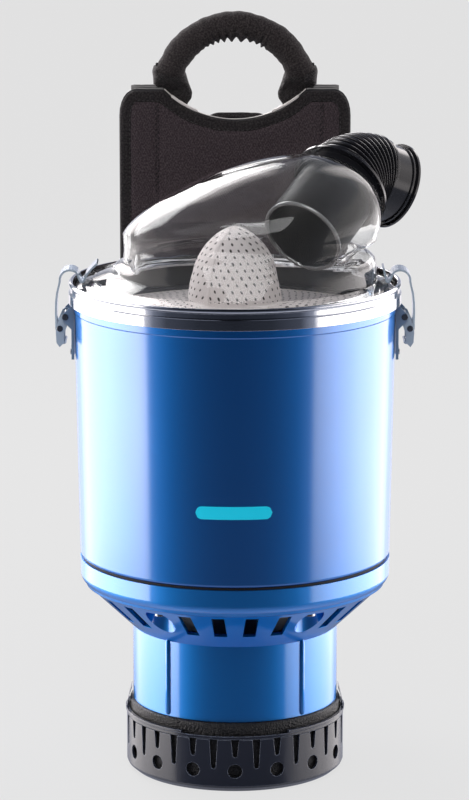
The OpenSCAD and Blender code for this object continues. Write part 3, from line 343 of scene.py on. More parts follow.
def clear_plastic():
    """Clear polycarbonate that lets lamp light through to what it covers."""
    m, t, p = principled("clear_polycarbonate")
    ripples = bump(t, times(t, noise(t, vector(t), 22.0, 2), 0.0003))
    feed(t, p, {"Base Color": (0.975, 0.975, 0.98, 1), "Transmission Weight": 1.0,
                "Roughness": 0.01, "IOR": 1.06, "Coat Weight": 0.64, "Coat Roughness": 0.02,
                "Coat IOR": 1.45, "Normal": ripples, "Coat Normal": ripples})
    through = node(t, "ShaderNodeBsdfTransparent", {"Color": (0.92, 0.93, 0.94, 1)})
    surface = blend_shader(t, either_ray(t, "Shadow", "Diffuse"), p, through)
    feed(t, t.nodes["Material Output"], {"Surface": surface})
    return m


def canister_paint():
    """Deep metallic lacquer outside, and dull dark grey with no metal or coat on every face that
    looks inwards.
    """
    m, t, p = principled("blue_paint")
    where = vector(t)
    n = node(t, "ShaderNodeGroup", {
        "Vector": where, "Colour": (0.0, 0.225, 0.72, 1), "Roughness": 0.52, "Drift": 0.06,
        "Grain Scale": 2400.0, "Grain Depth": 0.00001, "Edge Radius": 0.0006},
        node_tree=surface_finish)
    flat = node(t, "ShaderNodeVectorMath", {0: where, 1: (1, 1, 0)}, operation="MULTIPLY")
    normal = node(t, "ShaderNodeNewGeometry").outputs["True Normal"]
    facing = node(t, "ShaderNodeVectorMath", {0: flat, 1: normal}, operation="DOT_PRODUCT")
    outside = calc(t, "GREATER_THAN", facing.outputs["Value"], -0.02)
    # Every face that looks inwards is drawn dull dark grey.
    inward_grey = (0.035, 0.034, 0.036, 1)
    feed(t, p, {"Base Color": blend_colour(t, outside, inward_grey, n.outputs["Color"]),
                "Metallic": outside, "Coat Weight": outside,
                "Roughness": n.outputs["Roughness"], "Normal": n.outputs["Normal"],
                "Coat Roughness": 0.13, "Coat IOR": 2.05})
    return m


def filter_cloth_material():
    """Needled cream cloth with a faint fibre fuzz and large soft patches of darker brown-grey."""
    m, t, p = principled("filter_cloth")
    v = vector(t)
    big = noise(t, v, 30.0, 5)
    fibre = noise(t, v, 1500.0, 4, 0.7)
    # Large random patches turn a darker brown-grey.
    patch_tone = blend_colour(t, times(t, big, 0.5), (0.76, 0.69, 0.66, 1), (0.5, 0.44, 0.42, 1))
    height = calc(t, "ADD", times(t, fibre, 0.0003), times(t, big, 0.003))
    colour = blend_colour(t, times(t, fibre, 0.3), patch_tone, (0.84, 0.79, 0.76, 1))
    feed(t, p, {"Roughness": 0.9, "Sheen Weight": 0.3, "Sheen Roughness": 0.6,
                "Base Color": colour, "Normal": bump(t, height)})
    return m


FINISHES = {
    # The black base's pale blue edge colour is a painted highlight along its rims and slot edges.
    "base_black": dict(colour=(0.018, 0.021, 0.034), rough=0.24, coat=0.5, grain_scale=1100.0,
                       edge_radius=0.0007, edge_wear_and_highlight=1.6, edge_wear_and_highlight_colour=(0.42, 0.47, 0.6, 1),
                       dust=0.03),
    "blue_moulding": dict(colour=(0.0, 0.29, 0.86), rough=0.5, metallic=0.9, coat=1.0,
                          coat_rough=0.07, coat_ior=1.9, drift=0.06, grain_scale=1800.0,
                          grain_depth=0.00001, edge_radius=0.0008),
    "rim_alloy": dict(colour=(0.84, 0.85, 0.87), rough=0.07, metallic=1.0, grain_scale=500.0,
                      grain_depth=0.000012, roughness_drift=0.05),
    # The latches are a light blue-grey, mostly diffuse colour: a painted reflection of the bright
    # room on the steel.
    "latch_steel": dict(colour=(0.6, 0.72, 0.86), rough=0.24, metallic=0.25, coat=1.0,
                        roughness_drift=0.15, drift=0.25, grain_depth=0.00003, edge_wear_and_highlight=0.5,
                        edge_wear_and_highlight_colour=(0.8, 0.8, 0.82, 1)),
    "latch_plate": dict(colour=(0.27, 0.38, 0.54), rough=0.3, metallic=0.3, edge_wear_and_highlight=0.5),
    "steel": dict(colour=(0.62, 0.63, 0.65), rough=0.24, metallic=1.0, roughness_drift=0.12,
                  drift=0.15),
    "cast_alloy": dict(colour=(0.5, 0.51, 0.53), rough=0.45, metallic=1.0, grain_scale=500.0,
                       grain_depth=0.0001, edge_radius=0.0006),
    "copper": dict(colour=(0.6, 0.24, 0.09), rough=0.3, metallic=1.0, grain_scale=700.0,
                   grain_depth=0.0003, drift=0.4),
    "brass": dict(colour=(0.7, 0.5, 0.18), rough=0.3, metallic=1.0, drift=0.2),
    "rubber": dict(colour=(0.018, 0.018, 0.019), rough=0.6, grain_depth=0.00008,
                   grain_scale=700.0, dust=0.15),
    "hose_black": dict(colour=(0.01, 0.01, 0.012), rough=0.17, coat=0.4, coat_rough=0.05,
                       grain_depth=0.0, specular=0.3, edge_radius=0.0006, edge_wear_and_highlight=0.2,
                       edge_wear_and_highlight_colour=(0.1, 0.1, 0.11, 1), roughness_drift=0.12),
    "lip_gloss": dict(colour=(0.05, 0.05, 0.052), rough=0.16, coat=1.0, coat_rough=0.06,
                      coat_ior=1.9, edge_radius=0.0002),
    "tube_black": dict(colour=(0.006, 0.006, 0.007), rough=0.4, specular=0.1,
                       edge_radius=0.0004),
    "board_black": dict(colour=(0.03, 0.03, 0.034), rough=0.5, grain_depth=0.0001,
                        edge_radius=0.0006, edge_wear_and_highlight=0.4, edge_wear_and_highlight_colour=(0.3, 0.3, 0.31, 1)),
    "plate_grey": dict(colour=(0.3, 0.29, 0.285), rough=0.5, edge_radius=0.0004, edge_wear_and_highlight=0.6,
                       edge_wear_and_highlight_colour=(0.5, 0.5, 0.5, 1), grain_depth=0.00006),
    "buckle_black": dict(colour=(0.018, 0.018, 0.02), rough=0.34, edge_radius=0.001,
                         grain_depth=0.00004, edge_wear_and_highlight=0.3, dust=0.1),
    "switch_red": dict(colour=(0.5, 0.02, 0.015), rough=0.25, coat=0.4, edge_radius=0.0007),
    "foam": dict(colour=(0.012, 0.012, 0.013), rough=0.3, grain_scale=620.0,
                 grain_depth=0.0022, edge_radius=0.0001, drift=0.5, drift_scale=500.0),
    "edge_strip": dict(colour=(0.72, 0.68, 0.65), rough=0.35, edge_radius=0.0002),
    "pale_print": dict(colour=(0.005, 0.72, 0.98), rough=0.25, coat=0.3, edge_radius=0.0001),
    # The filter's perforation colour: painted shade in holes that are not cut.
    "hole_dark": dict(colour=(0.04, 0.03, 0.027), rough=0.8, edge_radius=0.0001),
    "thread": dict(colour=(0.05, 0.047, 0.048), rough=0.6, edge_radius=0.0001),
    "cream_thread": dict(colour=(0.7, 0.64, 0.56), rough=0.7, edge_radius=0.0001),
    "dark_thread": dict(colour=(0.006, 0.005, 0.006), rough=0.7, edge_radius=0.0001),
}
# Colour, thread colour, threads across and along, weave depth and sheen.
CLOTHS = {
    "panel_cloth": ((0.022, 0.016, 0.018), (0.075, 0.058, 0.064), 2700.0, 1500.0, 0.0003, 0.06),
    "binding_cloth": ((0.005, 0.0045, 0.005), (0.046, 0.04, 0.041), 4200.0, 4200.0, 0.0004, 0.05),
    "sleeve_cloth": ((0.006, 0.005, 0.005), (0.062, 0.052, 0.052), 4600.0, 4600.0, 0.0003, 0.06),
    "tab_cloth": ((0.005, 0.0045, 0.005), (0.06, 0.054, 0.054), 2600.0, 2600.0, 0.0007, 0.05),
    "pad_mesh": ((0.008, 0.008, 0.009), (0.05, 0.05, 0.053), 2600.0, 2600.0, 0.0005, 0.05),
    "strap_cloth": ((0.014, 0.013, 0.014), (0.06, 0.056, 0.058), 4600.0, 4600.0, 0.00018, 0.25),
    "webbing": ((0.01, 0.01, 0.011), (0.06, 0.058, 0.06), 4800.0, 2600.0, 0.0004, 0.25),
    # A darker copy of the tab webbing: painted shade in the crease where the tabs fold.
    "fold_painted_shade": ((0.003, 0.003, 0.003), (0.012, 0.01, 0.01), 3000.0, 3000.0, 0.00012, 0.0),
}
mat = {name: finish_material(name, **values) for name, values in FINISHES.items()}
mat.update({name: cloth_material(name, *values) for name, values in CLOTHS.items()})
mat.update(clear=clear_plastic(), blue_paint=canister_paint(), filter_cloth=filter_cloth_material())


NODE_FINISH = {
    "base_black": ["base_cap", "base_retainer"],
    "blue_moulding": ["motor_housing"],
    "blue_paint": ["canister"],
    "rim_alloy": ["rim_ring"],
    "steel": ["housing_screws", "harness_bolts", "motor_bearings", "rotor_shaft", "latch_rivets",
              "lever_pins", "claw_pin_left", "claw_pin_right"],
    "latch_steel": ["latch_claw_left", "latch_claw_right", "latch_lever_left", "latch_lever_right"],
    "latch_plate": ["latch_base_left", "latch_base_right"],
    "cast_alloy": ["motor_frame", "fan_case", "impeller"],
    "copper": ["motor_stator", "armature"],
    "brass": ["brush_holders"],
    "rubber": ["motor_mount", "motor_gasket", "canister_seal", "lid_gasket"],
    "board_black": ["harness_board", "harness_brackets", "motor_grille", "filter_ring",
                    "filter_frame"],
    "plate_grey": ["corner_plates"],
    "buckle_black": ["belt_buckle", "strap_adjusters", "switch_bezel", "cable_gland"],
    "hose_black": ["inlet_socket", "hose_cuff", "hose_collar"],
    "tube_black": ["inlet_tube"],
    "switch_red": ["switch_rocker"],
    "foam": ["exhaust_filter"],
    "filter_cloth": ["filter_cone"],
    "clear": ["dome_lid", "lid_skirt", "lid_flange"],
    "strap_cloth": ["shoulder_strap_left", "shoulder_strap_right", "belt_wing_left",
                    "belt_wing_right"],
    "webbing": ["strap_webbing_left", "strap_webbing_right"],
    "pad_mesh": ["back_pad", "lumbar_pad"],
    "panel_cloth": ["front_panel"],
    "sleeve_cloth": ["handle_sleeve"],
    "tab_cloth": ["handle_tabs"],
}
for finish, names in NODE_FINISH.items():
    for n in names:
        nodes[n].data.materials.clear()
        nodes[n].data.materials.append(mat[finish])


# ---- mesh helpers, in millimetres
def unit_rows(v):
    return v / np.linalg.norm(v, axis=1, keepdims=True)


def columns(*parts):
    """Arrays and constants side by side, as the columns of one array."""
    return np.stack(np.broadcast_arrays(*parts), 1)


def turn_of(count):
    """Angles all the way round, without the last."""
    return np.linspace(0, 2 * math.pi, count, endpoint=False)


def mesh_object(name, points, faces, material, corner_uv=None, smooth_angle=40.0):
    """One linked mesh with merged points, faces turned outwards, smooth shading and UVs."""
    me = bpy.data.meshes.new(name)
    me.from_pydata((np.asarray(points, float) * MM).tolist(), [], faces)
    if corner_uv is not None:
        layer = me.uv_layers.new(name="UVMap")
        layer.data.foreach_set("uv", (np.asarray(corner_uv, float) * MM).ravel())
    bm = bmesh.new()
    bm.from_mesh(me)
    bmesh.ops.remove_doubles(bm, verts=bm.verts, dist=2e-6)
    bmesh.ops.recalc_face_normals(bm, faces=bm.faces)
    bm.to_mesh(me)
    bm.free()
    me.shade_smooth()
    me.set_sharp_from_angle(angle=math.radians(smooth_angle))
    me.materials.clear()
    me.materials.append(mat[material])
    obj = bpy.data.objects.new(name, me)
    bpy.context.scene.collection.objects.link(obj)
    return obj


def apply_modifiers(obj):
    """Turns what an object's modifiers make into its own mesh."""
    made = bpy.data.meshes.new_from_object(obj.evaluated_get(bpy.context.evaluated_depsgraph_get()))
    obj.modifiers.clear()
    obj.data = made
    return made


def mesh_points(mesh):
    co = np.empty(len(mesh.vertices) * 3)
    mesh.vertices.foreach_get("co", co)
    return co.reshape(-1, 3)


def skin(name, rings, material, loop=False, smooth_angle=40.0):
    """A surface through closed rings of points, capped or looped, with UVs in real lengths."""
    rings = np.asarray(rings, float)
    m, n, _ = rings.shape
    u = np.r_[0, np.cumsum(np.linalg.norm(np.roll(rings, -1, 1) - rings, axis=2).mean(0))]
    v = np.r_[0, np.cumsum(np.linalg.norm(np.roll(rings, -1, 0) - rings, axis=2).mean(1))]
    faces, uv = [], []
    for k in range(m if loop else m - 1):
        for i in range(n):
            j, q = (i + 1) % n, (k + 1) % m
            faces.append((k * n + i, k * n + j, q * n + j, q * n + i))
            uv += [(u[i], v[k]), (u[i + 1], v[k]), (u[i + 1], v[k + 1]), (u[i], v[k + 1])]
    if not loop:
        faces += [tuple(range(n - 1, -1, -1)), tuple(range((m - 1) * n, m * n))]
        uv += [(0, 0)] * 2 * n
    return mesh_object(name, rings.reshape(-1, 3), faces, material, uv, smooth_angle)


def lathe(name, profile, material, sides, wobble, closed=False, smooth_angle=40.0):
    """Revolves (radius, height) points about a vertical axis; wobble moves them by angle."""
    p = np.asarray(profile, float)
    a = turn_of(sides)
    r, z = wobble(np.repeat(p[:, :1], sides, 1), np.repeat(p[:, 1:], sides, 1), a[None, :])
    rings = np.stack([r * np.cos(a), r * np.sin(a), z], 2)
    return skin(name, rings, material, loop=closed, smooth_angle=smooth_angle)


def sides_along(path, up):
    """Side and up directions along a path, with up kept as near as it can be."""
    t = unit_rows(np.gradient(path, axis=0))
    side = unit_rows(np.cross(t, np.broadcast_to(np.asarray(up, float), path.shape)))
    return side, np.cross(side, t)


def sweep(name, path, section, material, up=(0, 0, 1), scale=None, loop=False, smooth_angle=40.0):
    """Carries a closed (side, up) section along a path of points."""
    path, section = np.asarray(path, float), np.asarray(section, float)
    if loop:
        wrapped = np.vstack([path[-2:], path, path[:2]])
        side, high = (d[2:-2] for d in sides_along(wrapped, up))
    else:
        side, high = sides_along(path, up)
    s = np.ones((len(path), 2)) if scale is None else np.asarray(scale, float)
    rings = (path[:, None, :] + side[:, None, :] * (section[None, :, :1] * s[:, None, :1])
             + high[:, None, :] * (section[None, :, 1:] * s[:, None, 1:]))
    return skin(name, rings, material, loop=loop, smooth_angle=smooth_angle)


def round_section(radius, sides):
    a = turn_of(sides)
    return columns(radius * np.cos(a), radius * np.sin(a))


def flat_section(width, thick, edge=0.35):
    """A soft strap's section: flat faces that thin to a rounded edge."""
    s = np.linspace(-1, 1, 7)
    h = thick / 2 * (edge + (1 - edge) * np.sqrt(np.clip(1 - np.abs(s) ** 4, 0, 1)))
    x = s * width / 2
    return np.r_[columns(x, -h), columns(x[::-1], h[::-1])]


def smooth_through(t, values, q):
    """Curve through rows of values at t with no overshoot, read at q."""
    t, values, q = (np.asarray(a, float) for a in (t, values, q))
    h = np.diff(t)[:, None]
    d = np.diff(values, axis=0) / h
    total = d[1:] + d[:-1]
    total[total == 0] = 1
    m = np.zeros_like(values)
    m[1:-1] = np.where(d[1:] * d[:-1] > 0, 2 * d[1:] * d[:-1] / total, 0)
    m[0], m[-1] = d[0], d[-1]
    k = np.clip(np.searchsorted(t, q) - 1, 0, len(t) - 2)
    w = h[k]
    s = (q - t[k])[:, None] / w
    return ((2 * s ** 3 - 3 * s ** 2 + 1) * values[k] + (s ** 3 - 2 * s ** 2 + s) * w * m[k]
            + (3 * s ** 2 - 2 * s ** 3) * values[k + 1] + (s ** 3 - s ** 2) * w * m[k + 1])


def resample(points, count, loop=False):
    """Points evenly spaced along a polyline."""
    p = np.asarray(points, float)
    if loop:
        p = np.vstack([p, p[:1]])
    s = np.r_[0, np.cumsum(np.linalg.norm(np.diff(p, axis=0), axis=1))]
    q = np.linspace(0, s[-1], count + 1)[:-1] if loop else np.linspace(0, s[-1], count)
    return np.stack([np.interp(q, s, p[:, k]) for k in range(p.shape[1])], 1)


def place(obj, slot_name, *replaced, body="machine"):
    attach(obj, body)
    if replaced:
        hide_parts(*replaced)
    return obj


# ---- repeats
def attribute(g, name):
    return node(g, "GeometryNodeInputNamedAttribute", {"Name": name},
                data_type="FLOAT_VECTOR").outputs["Attribute"]


def make_repeat_tree(name, kind, inputs, vary=None, **settings):
    """One small shape, sized and set at points that carry its direction."""
    g = bpy.data.node_groups.new(name, "GeometryNodeTree")
    for label, type_name, way in (
            ("Geometry", "Geometry", "INPUT"), ("Length", "Float", "INPUT"),
            ("Width", "Float", "INPUT"), ("Height", "Float", "INPUT"),
            ("Finish", "Material", "INPUT"), ("Geometry", "Geometry", "OUTPUT")):
        g.interface.new_socket(label, in_out=way, socket_type="NodeSocket" + type_name)
    i = node(g, "NodeGroupInput").outputs
    size = node(g, "ShaderNodeCombineXYZ",
                {axis: i[label] for axis, label in zip("XYZ", ("Length", "Width", "Height"))})
    shape = node(g, "GeometryNodeTransform",
                 {"Geometry": node(g, kind, inputs, **settings), "Scale": size})
    stand = node(g, "FunctionNodeAlignRotationToVector", {"Vector": attribute(g, "stand")},
                 axis="Z")
    turn = node(g, "FunctionNodeAlignRotationToVector",
                {"Rotation": stand, "Vector": attribute(g, "run")}, axis="X", pivot_axis="Z")
    put = node(g, "GeometryNodeInstanceOnPoints",
               {"Points": i["Geometry"], "Instance": shape, "Rotation": turn})
    if vary:
        grow = node(g, "FunctionNodeRandomValue", {2: vary[0], 3: vary[1], "Seed": 4},
                    data_type="FLOAT")
        feed(g, put, {"Scale": grow.outputs[1]})
    real = node(g, "GeometryNodeRealizeInstances", {0: put})
    paint = node(g, "GeometryNodeSetMaterial", {"Geometry": real, "Material": i["Finish"]})
    node(g, "NodeGroupOutput", {"Geometry": paint})
    return g


def repeat(name, tree, points, stand, run, finish, **sizes):
    """Runs a repeat tree on points in millimetres and returns one plain mesh object."""
    me = bpy.data.meshes.new(name)
    me.from_pydata((np.asarray(points, float) * MM).tolist(), [], [])
    for label, rows in (("stand", stand), ("run", run)):
        a = me.attributes.new(label, "FLOAT_VECTOR", "POINT")
        rows = np.broadcast_to(rows, (len(points), 3)).astype(np.float32)
        a.data.foreach_set("vector", rows.ravel())
    obj = bpy.data.objects.new(name, me)
    bpy.context.scene.collection.objects.link(obj)
    mod = obj.modifiers.new("repeat", "NODES")
    mod.node_group = tree
    values = {"Finish": mat[finish], **{k.title(): v * MM for k, v in sizes.items()}}
    for item in tree.interface.items_tree:
        if item.item_type == "SOCKET" and item.in_out == "INPUT" and item.name in values:
            mod[item.identifier] = values[item.name]
    made = apply_modifiers(obj)
    made.name = name
    made.shade_smooth()
    return obj


beads = make_repeat_tree("beads_at_points", "GeometryNodeMeshUVSphere",
                         {"Segments": 7, "Rings": 5, "Radius": 0.5})
holes = make_repeat_tree("perforations_at_points", "GeometryNodeMeshCircle",
                         {"Vertices": 10, "Radius": 0.5}, (0.8, 1.15), fill_type="TRIANGLE_FAN")


def stitch_line(path, pitch, stand):
    """Stitch centres and directions along a path, one every pitch millimetres."""
    p = np.asarray(path, float)
    length = np.linalg.norm(np.diff(p, axis=0), axis=1).sum()
    q = resample(p, max(int(length / pitch), 3))
    mid = (q[1:] + q[:-1]) / 2
    return mid, np.broadcast_to(stand, mid.shape), q[1:] - q[:-1]


def stitches(name, lines, slot_name, finish="thread", size=(3.2, 0.8, 0.7)):
    """Rows of sewn stitches; size is each stitch's length, width and height."""
    parts = [np.vstack(group) for group in zip(*lines)]
    made = repeat(name, beads, *parts, finish, **dict(zip(("length", "width", "height"), size)))
    place(made, slot_name)


def wave_sum(waves):
    """A sum of waves, scaled to stay between about -1 and 1."""
    waves = list(waves)
    return sum(waves) / math.sqrt(len(waves))


def ripple(a, seed, count, low, high):
    """Seeded waves round an angle."""
    r = np.random.default_rng(seed)
    return wave_sum(math.sqrt(low / k) * np.sin(k * a + r.uniform(0, 6.28))
                    for k in r.integers(low, high, count))


# ---- sizes shared with the solids
FLANGE_Z, SKIRT_Z, DOME_Z, WIDEST_Z, CROWN_Z = 445.1, 452.8, 474.8, 494.8, 566.1
FLANGE_R, SKIRT_R, DOME_R, LID_T, LEAST_R = 143.6, 128.0, 114.0, 3.0, 0.4
DOME_AHEAD, DOME_DEPTH, SOCKET_R, TUBE_DEEP, TUBE_R = 10.0, 0.82, 40.15, 72.6, 36.1
CAN_LOW_Z, CAN_LOW_R, CAN_TAPER_R, CAN_TAPER_H = 203, 141, 4, 221.0
SEAT = np.array([94.5, 28.0, 530.6])
AZ, EL = math.radians(57.6), math.radians(29.3)
INLET = np.array([math.cos(AZ) * math.cos(EL), math.sin(AZ) * math.cos(EL), math.sin(EL)])
INLET_X = np.array([math.sin(EL) * math.cos(AZ), math.sin(EL) * math.sin(AZ), -math.cos(EL)])
INLET_Y = np.array([-math.sin(AZ), math.cos(AZ), 0.0])
BOARD_W, BOARD_TOP, BOARD_LOW, CORNER = 216.0, 603.0, 122.0, 14.0
NOTCH_W, NOTCH_D = 134.0, 28.0
PANEL_Y, BOARD_Y, BOARD_BACK = 152.3, 158.6, 161.6
DRUM_RIB_R, DRUM_RIB_TURNS = 93.2, (-130.2, -49.8, 49.8, 130.2)


def ring_points(a, across, along):
    """Unit directions at angles a, from across towards along."""
    return np.cos(a)[:, None] * across + np.sin(a)[:, None] * along


# ---- clear lid
def lid_sections():
    """Height, sideways offset, radius, tilt, forward offset and depth up the lid."""
    base = [[SKIRT_Z, 0, SKIRT_R, 0, 0, 1], [DOME_Z - 9, 7.16, SKIRT_R - 9.4, 0.05, 0, 0.98],
            [DOME_Z - 5, 6.2, SKIRT_R - 13, 0.05, 0, 0.97],
            [DOME_Z, 4.6, DOME_R - 9, 0.045, -5, 0.9],
            [DOME_Z + 5, 5.2, DOME_R - 9, 0.02, -DOME_AHEAD, DOME_DEPTH],
            [DOME_Z + 9, 8.8, DOME_R - 5.5, 0, -DOME_AHEAD, DOME_DEPTH],
            [DOME_Z + 12, 11.6, DOME_R - 2.4, 0, -DOME_AHEAD, DOME_DEPTH],
            [DOME_Z + 15.5, 13.5, DOME_R - 0.4, 0, -DOME_AHEAD, DOME_DEPTH]]
    low = smooth_through(np.arange(len(base)), base, np.linspace(0, len(base) - 1, 64))
    s = 1 - (1 - np.linspace(0, 1, 44)) ** 1.9
    radius = np.maximum(DOME_R * (1 - s ** 1.7) ** 0.55, LEAST_R)
    high = columns(WIDEST_Z + (CROWN_Z - WIDEST_Z) * s, 13.5 + 46 * s ** 1.1, radius, 0.0,
                   -DOME_AHEAD, DOME_DEPTH)
    return np.vstack([low, high])


def lid_rings(sections, inset):
    """Rings of the lid from its sections; the front keeps a straight slope at the neck."""
    a = turn_of(160)
    z, shift, r, tilt, ahead, depth = (c[:, None] for c in sections.T)
    front = np.clip((-np.sin(a) - 0.35) / 0.4, 0, 1)
    front = front ** 2 * (3 - 2 * front) * ((z > SKIRT_Z) & (z < WIDEST_Z))
    up = (z - SKIRT_Z) / (WIDEST_Z - SKIRT_Z)
    r = r + front * (SKIRT_R + (DOME_R - 0.4 - SKIRT_R) * up - r)
    ahead = ahead + front * (-10 * up - ahead)
    depth = depth + front * (1 - 0.18 * up - depth)
    drop = np.where(z > WIDEST_Z, inset * (z - WIDEST_Z) / (CROWN_Z - WIDEST_Z), 0)
    rings = np.stack([shift + np.maximum(r - inset, 0.4) * np.cos(a),
                      ahead + np.maximum(r * depth - inset, 0.4) * np.sin(a),
                      z + tilt * (shift + r * np.cos(a)) - drop], 2)
    beyond = (rings - SEAT) @ INLET + inset
    flat = (beyond > 0) & (rings[..., 2] > DOME_Z + 4)
    return np.where(flat[..., None], rings - beyond[..., None] * INLET, rings)


def cut_round(obj, centre, axis, radius, length):
    """Cuts a round hole through obj, on an axis in millimetres."""
    bpy.ops.mesh.primitive_cylinder_add(vertices=96, radius=radius * MM, depth=length * MM)
    tool = bpy.context.object
    tool.matrix_world = Matrix.Translation(Vector(centre) * MM) @ \
        Vector(axis).to_track_quat("Z", "Y").to_matrix().to_4x4()
    bpy.context.view_layer.update()
    cut = obj.modifiers.new("hole", "BOOLEAN")
    cut.object, cut.solver = tool, "EXACT"
    apply_modifiers(obj).set_sharp_from_angle(angle=math.radians(38))
    bpy.data.objects.remove(tool)


def make_lid():
    """One clear moulding: flange, sloping shoulder, skirt, neck and leaning dome."""
    sections = lid_sections()
    rim = [(SKIRT_R - LID_T - 0.4, SKIRT_Z - 3), (SKIRT_R - LID_T - 0.6, FLANGE_Z + 0.4),
           (SKIRT_R - LID_T - 0.2, FLANGE_Z), (FLANGE_R - 0.5, FLANGE_Z),
           (FLANGE_R, FLANGE_Z + 0.5), (FLANGE_R, FLANGE_Z + 1.7),
           (FLANGE_R - 0.6, FLANGE_Z + 2.4), (SKIRT_R + 8, SKIRT_Z - 2.8),
           (SKIRT_R + 1.6, SKIRT_Z - 0.5), (SKIRT_R + 0.5, SKIRT_Z + 0.2)]
    edge = np.array([[z, 0, r, 0, 0, 1] for r, z in rim], float)
    rings = [lid_rings(sections[::-1], LID_T), lid_rings(edge, 0), lid_rings(sections, 0)]
    lid = skin("clear_lid_moulding", np.vstack(rings), "clear", smooth_angle=38)
    cut_round(lid, SEAT, INLET, SOCKET_R, 40)
    place(lid, "clear_lid", "dome_lid", "lid_skirt", "lid_flange", body="lid")


def make_tube_lip():
    """The rounded lip at the inner mouth of the inlet tube."""
    ring = SEAT - TUBE_DEEP * INLET + TUBE_R * ring_points(turn_of(96), INLET_X, INLET_Y)
    lip = sweep("tube_mouth_lip", ring, round_section(1.9, 14), "lip_gloss", up=INLET, loop=True)
    place(lip, "hose_black", body="cuff")


def make_pad_top():
    """The dark bound top of the padding, which shows over the board's notch."""
    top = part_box("back_pad")[1][2] / MM
    u = np.linspace(-1, 1, 25)
    path = columns(2.0 + 28.0 * u, 164.2, top - 2.6 - 1.2 * u ** 4)
    thin = np.clip(1.06 - u ** 6, 0.25, 1)
    wavy = 1 + 0.05 * np.sin(9 * u + 0.6)
    roll = sweep("pad_top_binding", path, round_section(3.6, 14), "tab_cloth",
                 scale=columns(thin, thin * wavy))
    place(roll, "pad_mesh")


def make_drum_ribs():
    """The four slim upright ribs moulded on the drum."""
    z = np.array([65.0, 66.0, 68.0, 90.0, 112.0, 131.0, 134.0, 136.0])
    thin = np.array([0.3, 0.7, 1.0, 1.0, 1.0, 1.0, 0.8, 0.5])
    for k, turn in enumerate(DRUM_RIB_TURNS):
        a = math.radians(turn)
        x, y = DRUM_RIB_R * math.cos(a), DRUM_RIB_R * math.sin(a)
        rib = sweep(f"drum_rib_{k + 1}", columns(x, y, z),
                    round_section(2.7, 16), "blue_moulding", up=(x, y, 0),
                    scale=columns(thin, thin))
        place(rib, "blue_moulding")


make_lid()
make_tube_lip()
make_pad_top()
make_drum_ribs()


# ---- ribbed elbow
ELBOW_BEND, ELBOW_TURN, ELBOW_RIBS = 56.0, math.radians(-29), 11
ELBOW_RADIUS, ELBOW_START, CORE_R, BORE_R = 42, 2.9, 36.4, 34.4
RIB_PROFILE = ((0.02, 36.6), (0.05, 38.9), (0.1, 39.7), (0.2, 40.0), (0.36, 40.0), (0.46, 39.7),
               (0.51, 38.9), (0.54, 36.6), (0.66, 36.2), (0.9, 36.2))


def make_elbow():
    """Rounded ribs round a bent core, with its bore."""
    rows = [(0, CORE_R)]
    rows += [(ELBOW_BEND * (k + s) / ELBOW_RIBS, r)
             for k in range(ELBOW_RIBS) for s, r in RIB_PROFILE]
    rows += [(ELBOW_BEND, CORE_R)] + [(b, BORE_R) for b in np.linspace(ELBOW_BEND, 0, 30)]
    side = math.cos(ELBOW_TURN) * INLET_X + math.sin(ELBOW_TURN) * INLET_Y
    across = np.cross(INLET, side)
    rings = []
    for bend, r in rows:
        b = math.radians(bend)
        centre = SEAT + ELBOW_START * INLET
        centre = centre + ELBOW_RADIUS * (math.sin(b) * INLET + (1 - math.cos(b)) * side)
        out = math.cos(b) * side - math.sin(b) * INLET
        rings.append(centre + r * ring_points(turn_of(72), out, across))
    elbow = skin("ribbed_elbow", rings, "hose_black", loop=True, smooth_angle=50)
    place(elbow, "hose_rib", "hose_cuff", body="cuff")


make_elbow()


# ---- cone filter
DISC_Z, DISC_R, CONE_R, CONE_H, CLOTH_T = 418.2, 131.2, 42.0, 82.0, 2.4
SEAM = math.radians(-128)
CONE_ROW, DISC_ROW, DISC_GAP, HOLE_LIFT = 6.4, 6.6, 7.2, 0.12
HOLES_ROUND = ((31, 33), (24, 25), (17, 16), (10, 8), (5, 0))


def bullet(t, r=CONE_R):
    """The cone's radius, from its foot at 0 to its tip at 1."""
    return np.maximum(r * np.clip(1 - t ** 2.6, 0, 1) ** 0.62, 0.3)


def soften(r, z, a):
    """Soft dents in the cone and slow waves in the disc."""
    up = np.clip((z - DISC_Z - 3) / 70, 0, 1)
    fold = ripple(a + 1.5 * up, 5, 7, 3, 11) * 1.3 * np.sin(math.pi * np.clip(up, 0, 1)) ** 0.6
    on_disc = (r > CONE_R + 3) & (r < DISC_R - 3)
    return (r + np.where(up > 0, fold * (r > 6), 0),
            z + np.where(on_disc, 0.5 * ripple(a, 8, 8, 3, 14), 0))


def soften_one(r, z, a):
    rr, zz = soften(np.array([[r]]), np.array([[z]]), np.array([[a]]))
    return rr[0, 0], zz[0, 0]


def cone_holes():
    """Centres, outward and long directions of the slots in rows up the cone."""
    ts = np.linspace(0.03, 0.985, 400)
    rs, zs = bullet(ts), DISC_Z + CLOTH_T + (CONE_H - CLOTH_T) * ts
    length = np.r_[0, np.cumsum(np.hypot(np.diff(rs), np.diff(zs)))]
    rows = []
    for row in range(int(length[-1] / CONE_ROW)):
        s = 4.0 + CONE_ROW * row
        r, z = np.interp(s, length, rs), np.interp(s, length, zs)
        count = next(n for n, least in HOLES_ROUND if r >= least)
        dr, dz = (np.interp(s + 1, length, c) - np.interp(s - 1, length, c) for c in (rs, zs))
        for k in range(count):
            a = SEAM + (k + 0.5 + 0.5 * (row % 2)) * 2 * math.pi / count
            out = np.array([math.cos(a), math.sin(a), 0])
            along = np.array([-math.sin(a), math.cos(a), 0])
            up = np.array([dr * out[0], dr * out[1], dz]) / math.hypot(dr, dz)
            rr, zz = soften_one(r, z, a)
            n = out * dz - np.array([0, 0, dr])
            n /= np.linalg.norm(n)
            lean = -0.5 if (k + 0.5) / count < 0.72 else 0.9
            rows.append((out * rr + np.array([0, 0, zz]) + n * HOLE_LIFT, n, up + along * lean))
    return [np.array(part) for part in zip(*rows)]


